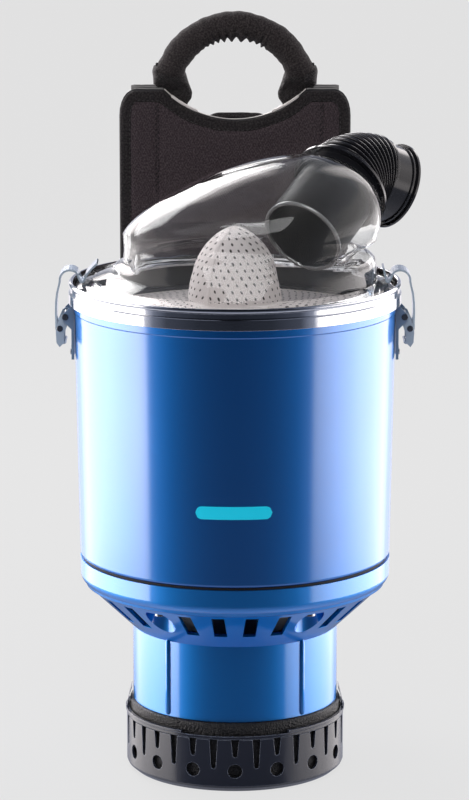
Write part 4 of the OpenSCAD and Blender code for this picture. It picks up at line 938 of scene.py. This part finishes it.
def disc_holes():
    """The same for the rings of slots in the disc."""
    pts, run = [], []
    for row, r in enumerate(np.arange(CONE_R + 8, DISC_R - 4, DISC_ROW)):
        count = int(2 * math.pi * r / DISC_GAP)
        a = (np.arange(count) + 0.5 * (row % 2)) * 2 * math.pi / count
        z = soften(np.full((1, count), r), np.full((1, count), DISC_Z + CLOTH_T), a[None, :])[1][0]
        pts.append(columns(r * np.cos(a), r * np.sin(a), z + HOLE_LIFT))
        run.append(columns(np.cos(a + 0.9), np.sin(a + 0.9), 0.0))
    pts = np.vstack(pts)
    return pts, np.broadcast_to((0, 0, 1), pts.shape), np.vstack(run)


def make_filter():
    """Cloth cone sewn to a cloth disc, softly dented, with rows of long perforations drawn as flat
    dark marks: painted shade in holes that are not cut.
    """
    t = 1 - (1 - np.linspace(0, 1, 60)) ** 1.6
    face = DISC_Z + CLOTH_T
    cone = columns(bullet(t), face + (CONE_H - CLOTH_T) * t)
    foot = [(DISC_R, DISC_Z), (DISC_R, DISC_Z + 2.1), (DISC_R - 0.5, face)]
    ring = [(r, face) for r in np.linspace(DISC_R - 2, CONE_R + 2.2, 40)]
    fillet = [(CONE_R + 1.2, DISC_Z + 2.7), (CONE_R + 0.35, DISC_Z + 3.5)]
    inner = columns(bullet(t, CONE_R - CLOTH_T), DISC_Z + (CONE_H - CLOTH_T) * t)[::-1]
    cloth = lathe("perforated_filter", np.vstack([foot, ring, fillet, cone[1:], inner]),
                  "filter_cloth", 180, soften, smooth_angle=60)
    place(cloth, "filter_cloth", "filter_cone")
    slots = [np.vstack(pair) for pair in zip(cone_holes(), disc_holes())]
    # Flat dark discs on the cloth stand for the perforations: painted shade in the holes.
    dots = repeat("filter_perforations", holes, *slots, "hole_dark", length=3.5, width=1.9,
                  height=1.0)
    place(dots, "filter_cloth")
    seam = []
    for u in np.linspace(0.02, 0.97, 60):
        r, z = soften_one(bullet(u), DISC_Z + CLOTH_T + (CONE_H - CLOTH_T) * u, SEAM)
        seam.append([(r + 0.2) * math.cos(SEAM), (r + 0.2) * math.sin(SEAM), z])
    tape = sweep("filter_seam_tape", seam, flat_section(5.0, 1.1), "filter_cloth",
                 up=(math.cos(SEAM), math.sin(SEAM), 0.2))
    place(tape, "filter_cloth")
    a = np.linspace(0, 2 * math.pi, 181)
    sewn = [stitch_line(columns(r * np.cos(a), r * np.sin(a), DISC_Z + 2.75), 4.2,
                        (0, 0, 1)) for r in (CONE_R + 5, DISC_R - 2.5)]
    stitches("filter_stitches", sewn, "filter_cloth", "cream_thread", (2.8, 0.6, 0.5))


make_filter()


# ---- harness outline
def board_outline(inset, spacing=3.0):
    """The board's outline in X and Z, anticlockwise, with the scooped notch under the handle."""
    half, top, low = BOARD_W / 2 - inset, BOARD_TOP - inset, BOARD_LOW + inset
    scoop = ((NOTCH_W / 2) ** 2 + NOTCH_D ** 2) / (2 * NOTCH_D)
    a = np.radians(np.linspace(90, 0, 9))
    foot = columns(half - CORNER * (1 - np.cos(a)), low + CORNER * (1 - np.sin(a)))
    a = np.radians(np.linspace(0, 90, 13))
    head = columns(half - CORNER * (1 - np.cos(a)), top - 1.7 * CORNER * (1 - np.sin(a)))
    zc = BOARD_TOP - NOTCH_D + scoop - inset
    reach = math.sqrt(scoop ** 2 - (zc - top) ** 2)
    q = np.linspace(math.asin(reach / scoop), 0, 24)
    notch = columns(scoop * np.sin(q), zc - scoop * np.cos(q))
    right = np.vstack([foot, head, notch])
    left = right[::-1] * (-1, 1)
    whole = np.vstack([right, left[1:]])
    total = np.linalg.norm(np.roll(whole, -1, 0) - whole, axis=1).sum()
    return resample(whole, int(total / spacing), loop=True)


def edge_distance(points, outline):
    """Distance from each point to a closed outline."""
    a, b = outline, np.roll(outline, -1, 0)
    d = b - a
    best = np.full(len(points), 1e9)
    for p, q in zip(a, d):
        t = np.clip(((points - p) @ q) / (q @ q + 1e-9), 0, 1)
        best = np.minimum(best, np.hypot(*(points - p - t[:, None] * q).T))
    return best


def inside(points, outline):
    x, y = points.T
    hit = np.zeros(len(points), bool)
    for (ax, ay), (bx, by) in zip(outline, np.roll(outline, -1, 0)):
        cross = (ay > y) != (by > y)
        hit ^= cross & (x < (bx - ax) * (y - ay) / ((by - ay) if by != ay else 1e-9) + ax)
    return hit


def cushion(name, outline, spacing, front, back, material, holes=()):
    """A sewn shape in the X-Z plane: front and back sheets that meet at the outline.

    front and back give the Y of each sheet from points and their distance to the edge."""
    loops = [outline, *holes]
    lo, hi = outline.min(0), outline.max(0)
    gx, gz = np.meshgrid(np.arange(lo[0], hi[0], spacing), np.arange(lo[1], hi[1], spacing * 0.87))
    gx = gx + (np.arange(gz.shape[0])[:, None] % 2) * spacing / 2
    grid = columns(gx.ravel(), gz.ravel())

    def kept(points):
        return inside(points, outline) & ~sum((inside(points, h) for h in holes),
                                              np.zeros(len(points), bool))

    grid = grid[kept(grid)]
    for loop in loops:
        grid = grid[edge_distance(grid, loop) > spacing * 0.6]
    edges, start = [], 0
    for loop in loops:
        n = len(loop)
        edges += [(start + k, start + (k + 1) % n) for k in range(n)]
        start += n
    points = [Vector(p) for p in np.vstack(loops + [grid])]
    verts, _, tris, *_ = delaunay_2d_cdt(points, edges, [], 0, 1e-4)
    flat, tris = np.array([tuple(v) for v in verts]), np.array(tris)
    tris = tris[kept(flat[tris].mean(1))]
    d = np.min([edge_distance(flat, loop) for loop in loops], axis=0)
    yf, yb = front(flat, d), back(flat, d)
    yf, yb = (np.where(d < 1e-3, (yf + yb) / 2, y) for y in (yf, yb))
    n = len(flat)
    points = np.vstack([columns(flat[:, 0], y, flat[:, 1]) for y in (yf, yb)])
    faces = [tuple(f) for f in tris] + [tuple(n + f[::-1]) for f in tris]
    uv = [tuple(flat[i % n]) for f in faces for i in f]
    return mesh_object(name, points, faces, material, uv, smooth_angle=70)


def rounded(d, reach):
    """Rises from 0 at the edge to 1 at reach, with a round shoulder."""
    return np.sqrt(np.clip(1 - (1 - np.clip(d / reach, 0, 1)) ** 2, 0, 1))


def wave_field(p, seed, count, low, high):
    """Seeded waves over the plane, wavelengths in millimetres."""
    r = np.random.default_rng(seed)

    def wave():
        a, w = r.uniform(0, math.pi), r.uniform(low, high)
        across = p[:, 0] * math.cos(a) + p[:, 1] * math.sin(a)
        return np.sin(across * 2 * math.pi / w + r.uniform(0, 6.28))

    return wave_sum(wave() for _ in range(count))


def offset_path(outline, inset):
    """The outline moved inwards by inset millimetres."""
    t = np.roll(outline, -1, 0) - np.roll(outline, 1, 0)
    t /= np.linalg.norm(t, axis=1, keepdims=True)
    return outline + inset * columns(-t[:, 1], t[:, 0])


def rectangle(x0, x1, z0, z1):
    """An upright rectangle's outline in X and Z."""
    corners = np.array([(x0, z0), (x1, z0), (x1, z1), (x0, z1)], float)
    return resample(corners, int(2 * (x1 - x0 + z1 - z0) / 4.0), loop=True)


def at_y(path, y):
    return columns(path[:, 0], y, path[:, 1])


# ---- front panel
SEAM_ROWS = ((-73.8, 0), (-71.6, 2.6), (79.9, 0), (82.1, 2.6))


def panel_binding(outline):
    """Tape folded round the panel's edge, with small puckers."""
    y = PANEL_Y + 1.7
    tape = np.array([
        (10.6, y + 0.9), (10.3, y + 0.15), (7.5, y - 0.35), (3.5, y - 0.45), (0.6, y - 0.1),
        (-0.7, y + 1.2), (-1.1, y + 2.8), (-0.6, y + 4.2), (0.6, BOARD_Y - 0.25),
        (4, BOARD_Y - 0.25), (1.4, y + 3), (2.2, y + 1.4), (6, y + 1.2)])
    n = len(outline)
    inward = offset_path(outline, 1) - outline
    bumps = 1 + 0.1 * ripple(np.linspace(0, 2 * math.pi, n), 12, 9, 20, 160)
    on_face = tape[:, 0] > 2
    rings = []
    for k in range(n):
        flat = outline[k] + inward[k] * (tape[:, 0] * np.where(on_face, bumps[k], 1))[:, None]
        depth = tape[:, 1] - 0.15 * (bumps[k] - 1) * 10 * on_face
        rings.append(columns(flat[:, 0], depth, flat[:, 1]))
    binding = skin("panel_binding", rings, "binding_cloth", loop=True, smooth_angle=60)
    place(binding, "panel_fabric")
    path = offset_path(outline, 8.3)
    path = at_y(np.vstack([path, path[:1]]), y - 0.5)
    stitches("binding_stitches", [stitch_line(path, 4.4, (0, -1, 0))], "panel_fabric",
             size=(3.0, 0.65, 0.5))


def notch_strip():
    """The pale edge that shows along the notch, wider on its slopes."""
    x = np.linspace(-66, 66, 120)
    half = NOTCH_W / 2
    scoop = (half ** 2 + NOTCH_D ** 2) / (2 * NOTCH_D)
    z = BOARD_TOP - NOTCH_D + scoop - np.sqrt(scoop ** 2 - x ** 2)
    slope = (np.abs(x) > 36) & (np.abs(x) < 59)
    step = np.where(np.abs(x) >= 59, 0.6, np.where(slope, 0.9, -0.6))
    path = columns(x, np.where(slope, PANEL_Y + 1.2, BOARD_Y - 0.2), z + 1.2 + step)
    size = columns(np.where(slope, 2.6, 1.0), np.where(slope, 1.2, 0.8))
    strip = sweep("notch_edge_strip", path, flat_section(0.95, 2.0), "edge_strip",
                  up=(0, 1, 0), scale=size)
    place(strip, "plate_grey")


def make_panel():
    """Ribbed charcoal panel, bound with folded tape and sewn down in two columns."""
    outline = board_outline(1.5)
    windows = [rectangle(-35, 35, z - 19, z + 19) for z in (250.0, 390.0)]

    def front(p, d):
        rise = 2.6 * rounded(d - 8, 9) * (d > 8)
        pull = sum(0.9 * np.exp(-((p[:, 0] - x) / 2.4) ** 2) for x in (-72.7, 81.0))
        sag = 0.28 * wave_field(p, 3, 7, 26, 80) * np.clip((d - 12) / 20, 0, 1)
        return PANEL_Y + 2.8 - rise + pull * (d > 8) + sag

    panel = cushion("front_panel_cloth", outline, 3.4, front, lambda p, d: 0 * d + BOARD_Y - 0.35,
                    "panel_cloth", windows)
    place(panel, "panel_fabric", "front_panel")
    panel_binding(outline)
    rows = []
    for x, late in SEAM_ROWS:
        z = np.arange(150, 588, 5.2) + late
        rows.append(columns(x, PANEL_Y + 0.85, z))
    seams = repeat("panel_seam_stitches", beads, np.vstack(rows), (0, -1, 0), (0.45, 0, 1),
                   "dark_thread", length=3.2, width=1.3, height=0.8)
    place(seams, "panel_fabric")
    notch_strip()


make_panel()


# ---- carrying handle
HANDLE_Z, HANDLE_Y, HANDLE_R = 599.0, 160.1, 64.0
TAB_OUTLINE = [(45.5, 584), (47, 571), (52, 563), (60, 568), (73, 588), (76, 600), (76.4, 612),
               (77.4, 620), (75.6, 625.6), (66, 623.8), (56, 621.4), (46.2, 619.2), (43.6, 610),
               (39.9, 600), (40.6, 594), (44.6, 589)]


def make_handle():
    """Padded sleeve gathered on its inner curve and pinched into its two sewn tabs."""
    deg = np.linspace(15, 165, 260)
    a = np.radians(deg)
    u = turn_of(40)
    t = np.abs(np.linspace(-1, 1, len(a)))
    pinch = 1 - 0.4 * np.clip((t - 0.86) / 0.14, 0, 1) ** 1.5
    wide = 1 + 0.14 * np.clip((t - 0.82) / 0.18, 0, 1) ** 1.3
    swell = 1 + 0.03 * ripple(a * 4, 3, 6, 2, 7)
    gather = np.exp(-((deg - 91) / 26) ** 2) + 0.5 * np.exp(-((deg - 62) / 3) ** 2)
    folds = np.abs(np.sin(deg * 0.43 + 1.2 * np.sin(deg * 0.11)))
    inner = np.clip(-np.cos(u), 0, 1) ** 1.2
    side = np.clip(1 - np.abs(np.cos(u)), 0, 1)
    rings = []
    for k, q in enumerate(a):
        crease = (1 - folds[k]) * gather[k]
        r = 13.0 * swell[k] * (1 + 0.012 * np.sin(7 * q * 6 + 2 * u))
        r = r - 2.6 * crease * (inner + 0.25 * side) + 2.4 * inner * gather[k] * folds[k] ** 3
        r = r - 0.35 * np.abs(np.sin(deg[k] * 1.9 + 2 * np.cos(u))) * side
        out = np.array([math.cos(q), 0, math.sin(q)])
        centre = np.array([0, HANDLE_Y, HANDLE_Z]) + HANDLE_R * out
        rings.append(centre + (r * np.cos(u) * wide[k])[:, None] * out
                     + (r * np.sin(u) * pinch[k])[:, None] * np.array([0, 1, 0]))
    sleeve = skin("handle_sleeve_padding", rings, "sleeve_cloth", smooth_angle=65)
    place(sleeve, "sleeve_fabric", "handle_sleeve")
    q, r = np.radians(np.linspace(18, 162, 160)), HANDLE_R + 4
    seam = columns(r * np.cos(q), HANDLE_Y + 12.6, HANDLE_Z + r * np.sin(q))
    stitches("handle_stitches", [stitch_line(seam, 4.5, (0, 1, 0))], "sleeve_fabric",
             size=(3.2, 0.7, 0.6))


def tab_front(p, d):
    """The Y of a tab's front sheet, which swells where it laps the sleeve's end."""
    lap = np.clip((p[:, 1] - 603) / 12, 0, 1)
    top = np.clip((626 - p[:, 1]) / 7, 0, 1)
    swell = 11.0 * lap * rounded(d, 9) * (0.55 + 0.45 * top)
    return 164.6 - 1.8 * rounded(d, 3) - swell + (0.3 + 0.5 * lap) * wave_field(p, 21, 6, 5, 16)


def tab_back(p, d):
    """The Y of a tab's back sheet."""
    lap = np.clip((p[:, 1] - 603) / 12, 0, 1)
    swell = 1.8 * rounded(d, 4) + 4.5 * lap * rounded(d, 9)
    return 167.0 + swell + 0.2 * wave_field(p, 22, 6, 5, 16)


def make_tabs():
    """Heavy webbing folded round the sleeve's ends and sewn to the back of the board."""
    tabs, rows = [], []
    for s, label in ((-1, "left"), (1, "right")):
        closed = resample(TAB_OUTLINE, 110, loop=True)
        closed = (np.roll(closed, 1, 0) + 2 * closed + np.roll(closed, -1, 0)) / 4
        closed[:, 0] *= s
        tabs.append(cushion(f"handle_tab_{label}", closed[::s], 2.2, tab_front, tab_back,
                            "tab_cloth"))
        x = np.linspace(49.5, 73.0, 14)
        z = np.interp(x, [46, 56, 66, 77.5], [620.2, 622.6, 625.0, 627.4]) + 0.5 * np.sin(x * 0.9)
        path = columns(s * x, 153.2 + 0.05 * (x - 61.5) ** 2, z)
        # A dark strip along each tab's fold: painted shade in the crease.
        fold = sweep(f"tab_fold_{label}", path, flat_section(3.4, 2.6, 0.3), "fold_painted_shade",
                     up=(0, 1, 0), smooth_angle=60)
        place(fold, "webbing")
        for z, near, far, count in ((572.0, 50, 62, 8), (580.0, 48, 70, 12), (588.0, 48, 70, 12)):
            x = np.linspace(s * near, s * far, count)
            rows.append(stitch_line(columns(x, 169.3, z), 3.6, (0, 1, 0)))
    for tab in tabs:
        place(tab, "webbing", "handle_tabs")
    stitches("tab_stitches", rows, "webbing", size=(2.6, 0.7, 0.6))


make_handle()
make_tabs()


# ---- soft goods on the wearer's side
REAR = BOARD_BACK + 0.5
SWELL_FRAMES, SWELL_CAP, SWELL_PRESSURE, SWELL_VOXEL = 20, 2.2, 3.0, 4.5


def inflate(obj):
    """Swells a pad with a short cloth run; its back stays on what it rests on."""
    remesh = obj.modifiers.new("even", "REMESH")
    remesh.mode, remesh.voxel_size = "VOXEL", SWELL_VOXEL * MM
    rest = mesh_points(apply_modifiers(obj))
    held = np.nonzero(rest[:, 1] / MM < REAR + 1.5)[0]
    obj.vertex_groups.new(name="held").add([int(v) for v in held], 1.0, "REPLACE")
    cloth = obj.modifiers.new("swell", "CLOTH")
    cloth.settings.use_pressure = True
    cloth.settings.uniform_pressure_force = SWELL_PRESSURE
    cloth.settings.effector_weights.gravity = 0
    cloth.settings.vertex_group_mass = "held"
    cloth.settings.quality = 4
    cloth.point_cache.frame_start, cloth.point_cache.frame_end = 1, SWELL_FRAMES
    scene = bpy.context.scene
    for frame_number in range(1, SWELL_FRAMES + 1):
        scene.frame_set(frame_number)
    swollen = apply_modifiers(obj)
    shift = mesh_points(swollen) - rest
    size = np.linalg.norm(shift, axis=1, keepdims=True)
    shift *= np.minimum(1, SWELL_CAP * MM / np.maximum(size, 1e-9))
    swollen.vertices.foreach_set("co", (rest + shift).ravel())
    scene.frame_set(1)
    obj.vertex_groups.clear()
    fine = obj.modifiers.new("fine", "SUBSURF")
    fine.levels = fine.render_levels = 1
    apply_modifiers(obj).shade_smooth()


def groove(x, centre, width):
    return np.exp(-((x - centre) / width) ** 2)


def make_pad(node_name, outline, edge, face, rule, rim):
    """A swollen pad on the board, then shaped by a rule in millimetres, with piping."""
    pad = cushion(f"{node_name}_mesh", outline, 5.0, lambda p, d: 0 * d + REAR,
                  lambda p, d: REAR + face[0] + face[1] * rounded(d, edge), "pad_mesh")
    inflate(pad)
    x, y, z = (mesh_points(pad.data) / MM).T
    y = rule(x, y, z)
    pad.data.vertices.foreach_set("co", (columns(x, y, z) * MM).ravel())
    pad.data.update()
    place(pad, "pad_mesh", node_name)
    piping = sweep(f"{node_name}_piping", rim, round_section(1.3, 10), "binding_cloth",
                   up=(0, 1, 0), loop=True, smooth_angle=70)
    place(piping, "pad_mesh")


def make_back_pad():
    """Spacer-mesh back pad: crowned lobes either side of a sunk spine channel."""
    z0, z1, half, head = 240.0, 580.0, 88.0, 26.0
    right = []
    for s in np.linspace(0, 1, 60):
        v = 2 * s - 1
        narrow = min(max((v - 0.62) / 0.16, 0), 1)
        edge = max(1 - abs(v) ** 6, 0) ** 0.4
        shoulder = (half - head) * (3 * narrow ** 2 - 2 * narrow ** 3)
        right.append((half * (0.86 + 0.14 * edge) - shoulder, z0 + (z1 - z0) * s))
    right = np.array(right)
    outline = resample(np.vstack([right, right[::-1] * (-1, 1)]), 300, loop=True)

    def sew(x, y, z):
        deep = 7.5 * groove(x, 0, 9) * (z > 0)
        for level in (296, 356, 416, 470):
            deep = deep + 3.2 * groove(z + 0.0009 * x * x, level, 4.0) * (np.abs(x) > 8)
        deep = deep + 2.4 * groove(np.abs(x) - 0.02 * (z - 400), 48, 3.0) * (z < 500)
        y = y - deep * np.clip((y - REAR - 4) / 10, 0, 1)
        y = np.where(y < REAR + 1.2, REAR, y)
        bolt = np.zeros_like(x, bool)
        for bx in (-20, 20):
            for bz in (250, 390):
                bolt |= (np.hypot(x - bx, z - bz) < 7.5) & (y < REAR + 3.2)
        return np.where(bolt, np.maximum(y, BOARD_BACK + 3.0), y)

    rim = at_y(resample(offset_path(outline, 0.2), 260, loop=True), REAR + 1.5)
    make_pad("back_pad", outline, 24, (2.0, 15.5), sew, rim)


def make_lumbar_pad():
    """Lumbar pad with a shallow channel and two sewn lines."""
    half, low, high = 99.2, 134.5, 229.2
    c, s = np.cos(turn_of(240)), np.sin(turn_of(240))
    e = 0.42
    outline = columns(half * np.sign(c) * np.abs(c) ** e,
                      (low + high) / 2 + (high - low) / 2 * np.sign(s) * np.abs(s) ** e)
    outline = resample(outline, 200, loop=True)

    def sew(x, y, z):
        deep = 6.5 * groove(x, 0, 9) + 2.6 * groove(np.abs(x), 46, 3.2)
        deep = deep + 2.2 * groove(z, 182, 3.2) * (np.abs(x) > 10)
        y = y - deep * np.clip((y - REAR - 4) / 12, 0, 1)
        return np.where(y < REAR + 1.2, REAR, y)

    make_pad("lumbar_pad", outline, 26, (2.5, 20.5), sew, at_y(outline, REAR + 1.6))


def bezier(p, t):
    p, t = np.asarray(p, float), np.asarray(t)[:, None]
    return ((1 - t) ** 3 * p[0] + 3 * (1 - t) ** 2 * t * p[1] + 3 * (1 - t) * t * t * p[2]
            + t ** 3 * p[3])


def curve_and_heading(curve, t):
    """Points of a plane curve and its unit headings."""
    ahead, behind = bezier(curve, np.minimum(t + 0.01, 1)), bezier(curve, np.maximum(t - 0.01, 0))
    return bezier(curve, t), unit_rows(ahead - behind)


class Strip:
    """A padded strip: widths and thicknesses along it, its crown and its sewn lines."""

    def __init__(self, node_name, t, centre, out, across, width, taper, thick, thin):
        self.node_name, self.t, self.centre, self.out = node_name, t, centre, out
        self.across = np.array(across, float)
        self.width = width * (1 - taper * t)
        self.thick = thick * (1 - thin * t)

    def padding(self, count, crown, seam, end, puff, under):
        """Skins the strip; seam is the place, depth and width of its sewn lines."""
        s = np.linspace(-1, 1, count)
        crown = np.sqrt(np.clip(1 - np.abs(s) ** crown, 0, 1))
        sewn = 1 - seam[1] * groove(np.abs(s), seam[0], seam[2])
        rings = []
        for k, q in enumerate(self.t):
            soft = min(1, end + 14 * q, end + 14 * (1 - q))
            h = self.thick[k] * soft * crown * sewn * (1 + 0.05 * math.sin(q * puff))
            h = np.maximum(h, 0.9)
            reach = (s * (self.width[k] - 1.2))[:, None] * self.across
            low = np.maximum(h[::-1] * under, 0.9)[:, None] * self.out[k]
            rings.append(np.vstack([self.centre[k] + reach + h[:, None] * self.out[k],
                                    self.centre[k] + reach[::-1] - low]))
        made = skin(f"{self.node_name}_padding", rings, "strap_cloth", smooth_angle=65)
        place(made, "strap_fabric", self.node_name)

    def binding(self, name, edge, thick):
        path = self.centre + (edge * (self.width - 1.5))[:, None] * self.across
        tape = sweep(name, path, flat_section(3.2, thick, 0.5), "binding_cloth", up=self.out,
                     smooth_angle=65)
        place(tape, "strap_fabric")

    def sewn_line(self, place_across, lift, stand):
        row = self.centre + (place_across * (self.width - 1.2))[:, None] * self.across \
            + lift * self.out
        return stitch_line(row[4:-4], 4.6, stand)


STRAP = [(161.9, 558), (215.6, 561), (228.6, 413), (203.6, 300)]
STRAP_FOOT, STRAP_DOWN = np.array([203.6, 300.0]), np.array([-0.2164, -0.9763])
BELT_ROOT = np.array([100.3, 166.4])
BELT = [BELT_ROOT, BELT_ROOT + (40, 0), BELT_ROOT + (40, 98), np.array([40.0, BELT_ROOT[1] + 96])]


def make_straps():
    """Padded shoulder straps with bound edges and sewn lines, and their lower webbing."""
    for side, label in ((-1, "left"), (1, "right")):
        t = np.linspace(0.004, 0.996, 90)
        c, d = curve_and_heading(STRAP, t)
        x = side * (54 + 10 * np.sin(np.radians(180 * t)) - 2 * t)
        strip = Strip(f"shoulder_strap_{label}", t, columns(x, c[:, 0], c[:, 1]),
                      columns(0.0, -d[:, 1], d[:, 0]), (1, 0, 0), 26.0, 0.25, 6.0, 0.3)
        strip.padding(15, 3.4, (0.62, 0.42, 0.07), 0.25, 60, 0.85)
        lines = []
        for edge in (-1, 1):
            inner = "inner" if edge * side < 0 else "outer"
            strip.binding(f"strap_{label}_binding_{inner}", edge, 4.6)
            lines.append(strip.sewn_line(edge * 0.62, (strip.thick * 0.52)[:, None], (0, 1, 0)))
        stitches(f"strap_{label}_stitches", lines, "strap_fabric")
        bend = STRAP_FOOT + STRAP_DOWN * (300 - 234 - 12)
        pts = np.array([STRAP_FOOT + STRAP_DOWN * 2, STRAP_FOOT + STRAP_DOWN * 24,
                        bend - STRAP_DOWN * 6, bend + (-2.5, -5.0), bend + (-8, -8.0),
                        (175.6, 235.2), (168, 234.2), (162.2, 234.0)])
        path = smooth_through(np.arange(len(pts)), pts, np.linspace(0, len(pts) - 1, 70))
        path = columns(side * 52.0, path[:, 0], path[:, 1])
        web = sweep(f"strap_webbing_{label}_tape", path, flat_section(24, 1.7, 0.6),
                    "webbing", up=np.cross(np.gradient(path, axis=0), (1, 0, 0)),
                    smooth_angle=60)
        place(web, "webbing", f"strap_webbing_{label}")


def make_belt():
    """Padded belt wings that taper towards the buckle, bound and sewn in three channels."""
    for side, label in ((-1, "left"), (1, "right")):
        t = np.linspace(0.004, 0.996, 100)
        c, d = curve_and_heading(BELT, t)
        strip = Strip(f"belt_wing_{label}", t, columns(side * c[:, 0], c[:, 1], 182.0),
                      columns(-side * d[:, 1], d[:, 0], 0.0), (0, 0, 1), 38.0, 0.45,
                      4.5, 0.0)
        strip.padding(17, 4, (0.36, 0.45, 0.06), 0.3, 44, 1.0)
        lines = []
        for edge, end in ((-1, "low"), (1, "top")):
            strip.binding(f"belt_{label}_binding_{end}", edge, 4.2)
            lines += [strip.sewn_line(edge * 0.36, face * 2.5, (0, face, 0.001))
                      for face in (-1, 1)]
        stitches(f"belt_{label}_stitches", lines, "strap_fabric")


make_back_pad()
make_lumbar_pad()
make_straps()
make_belt()


# ---- foam, printed bar and plate ribs
def make_foam():
    """Open-celled foam ring behind the slots of the base."""
    outer, inner, low, high = 96.6, 70.2, 4.2, 63.6
    wall = [(outer, z) for z in np.linspace(low + 1, high - 1, 34)]
    profile = [(inner, low), (outer - 1, low), *wall, (outer - 1, high), (inner, high)]

    def cells(r, z, a):
        rough = 0.5 * ripple(a, 31, 30, 90, 360) + 0.4 * np.sin(z * 2.1 + 9 * np.sin(a * 31))
        return np.where(r > outer - 0.5, r - 0.35 + 0.3 * rough, r), z

    ring = lathe("exhaust_foam_ring", profile, "foam", 360, cells, closed=True, smooth_angle=80)
    place(ring, "foam", "exhaust_filter")


def make_pale_bar():
    """A plain pale bar with rounded ends printed low on the canister."""
    z0, half, tall, n = 268.4, 34.0, 5.8, 41
    tilt = CAN_TAPER_R / CAN_TAPER_H
    radius = CAN_LOW_R + CAN_TAPER_R * (z0 - CAN_LOW_Z) / CAN_TAPER_H
    points, faces = [], []
    for lift in (0.02, 0.3):
        for x in np.linspace(-1, 1, n) * half:
            over = abs(x) - (half - tall)
            edge = math.sqrt(max(tall ** 2 - over ** 2, 0.01)) if over > 0 else tall
            for h in (edge, -edge):
                r = radius + tilt * h + lift
                points.append((-1 + r * math.sin(x / radius), -r * math.cos(x / radius), z0 + h))
    for k in range(n - 1):
        for base, flip in ((0, True), (2 * n, False)):
            quad = (base + 2 * k, base + 2 * k + 1, base + 2 * k + 3, base + 2 * k + 2)
            faces.append(quad[::-1] if flip else quad)
        for j in (0, 1):
            a, b = 2 * k + j, 2 * k + 2 + j
            quad = (a, b, b + 2 * n, a + 2 * n)
            faces.append(quad if j else quad[::-1])
    faces += [(0, 2 * n, 2 * n + 1, 1), (2 * n - 2, 2 * n - 1, 4 * n - 1, 4 * n - 2)]
    bar = mesh_object("printed_pale_bar", points, faces, "pale_print")
    place(bar, "canister_blue")


def make_plate_ribs():
    """Small ribs across the grey plates at the board's shoulders."""
    pts = [(s * 82, BOARD_BACK - 0.1, z) for s in (-1, 1) for z in (603.6, 605.4, 607.0)]
    ribs = repeat("plate_ribs", beads, pts, (0, -1, 0), (1, 0, 0), "plate_grey",
                  length=29.0, width=1.3, height=1.6)
    place(ribs, "plate_grey")


make_foam()
make_pale_bar()
make_plate_ribs()
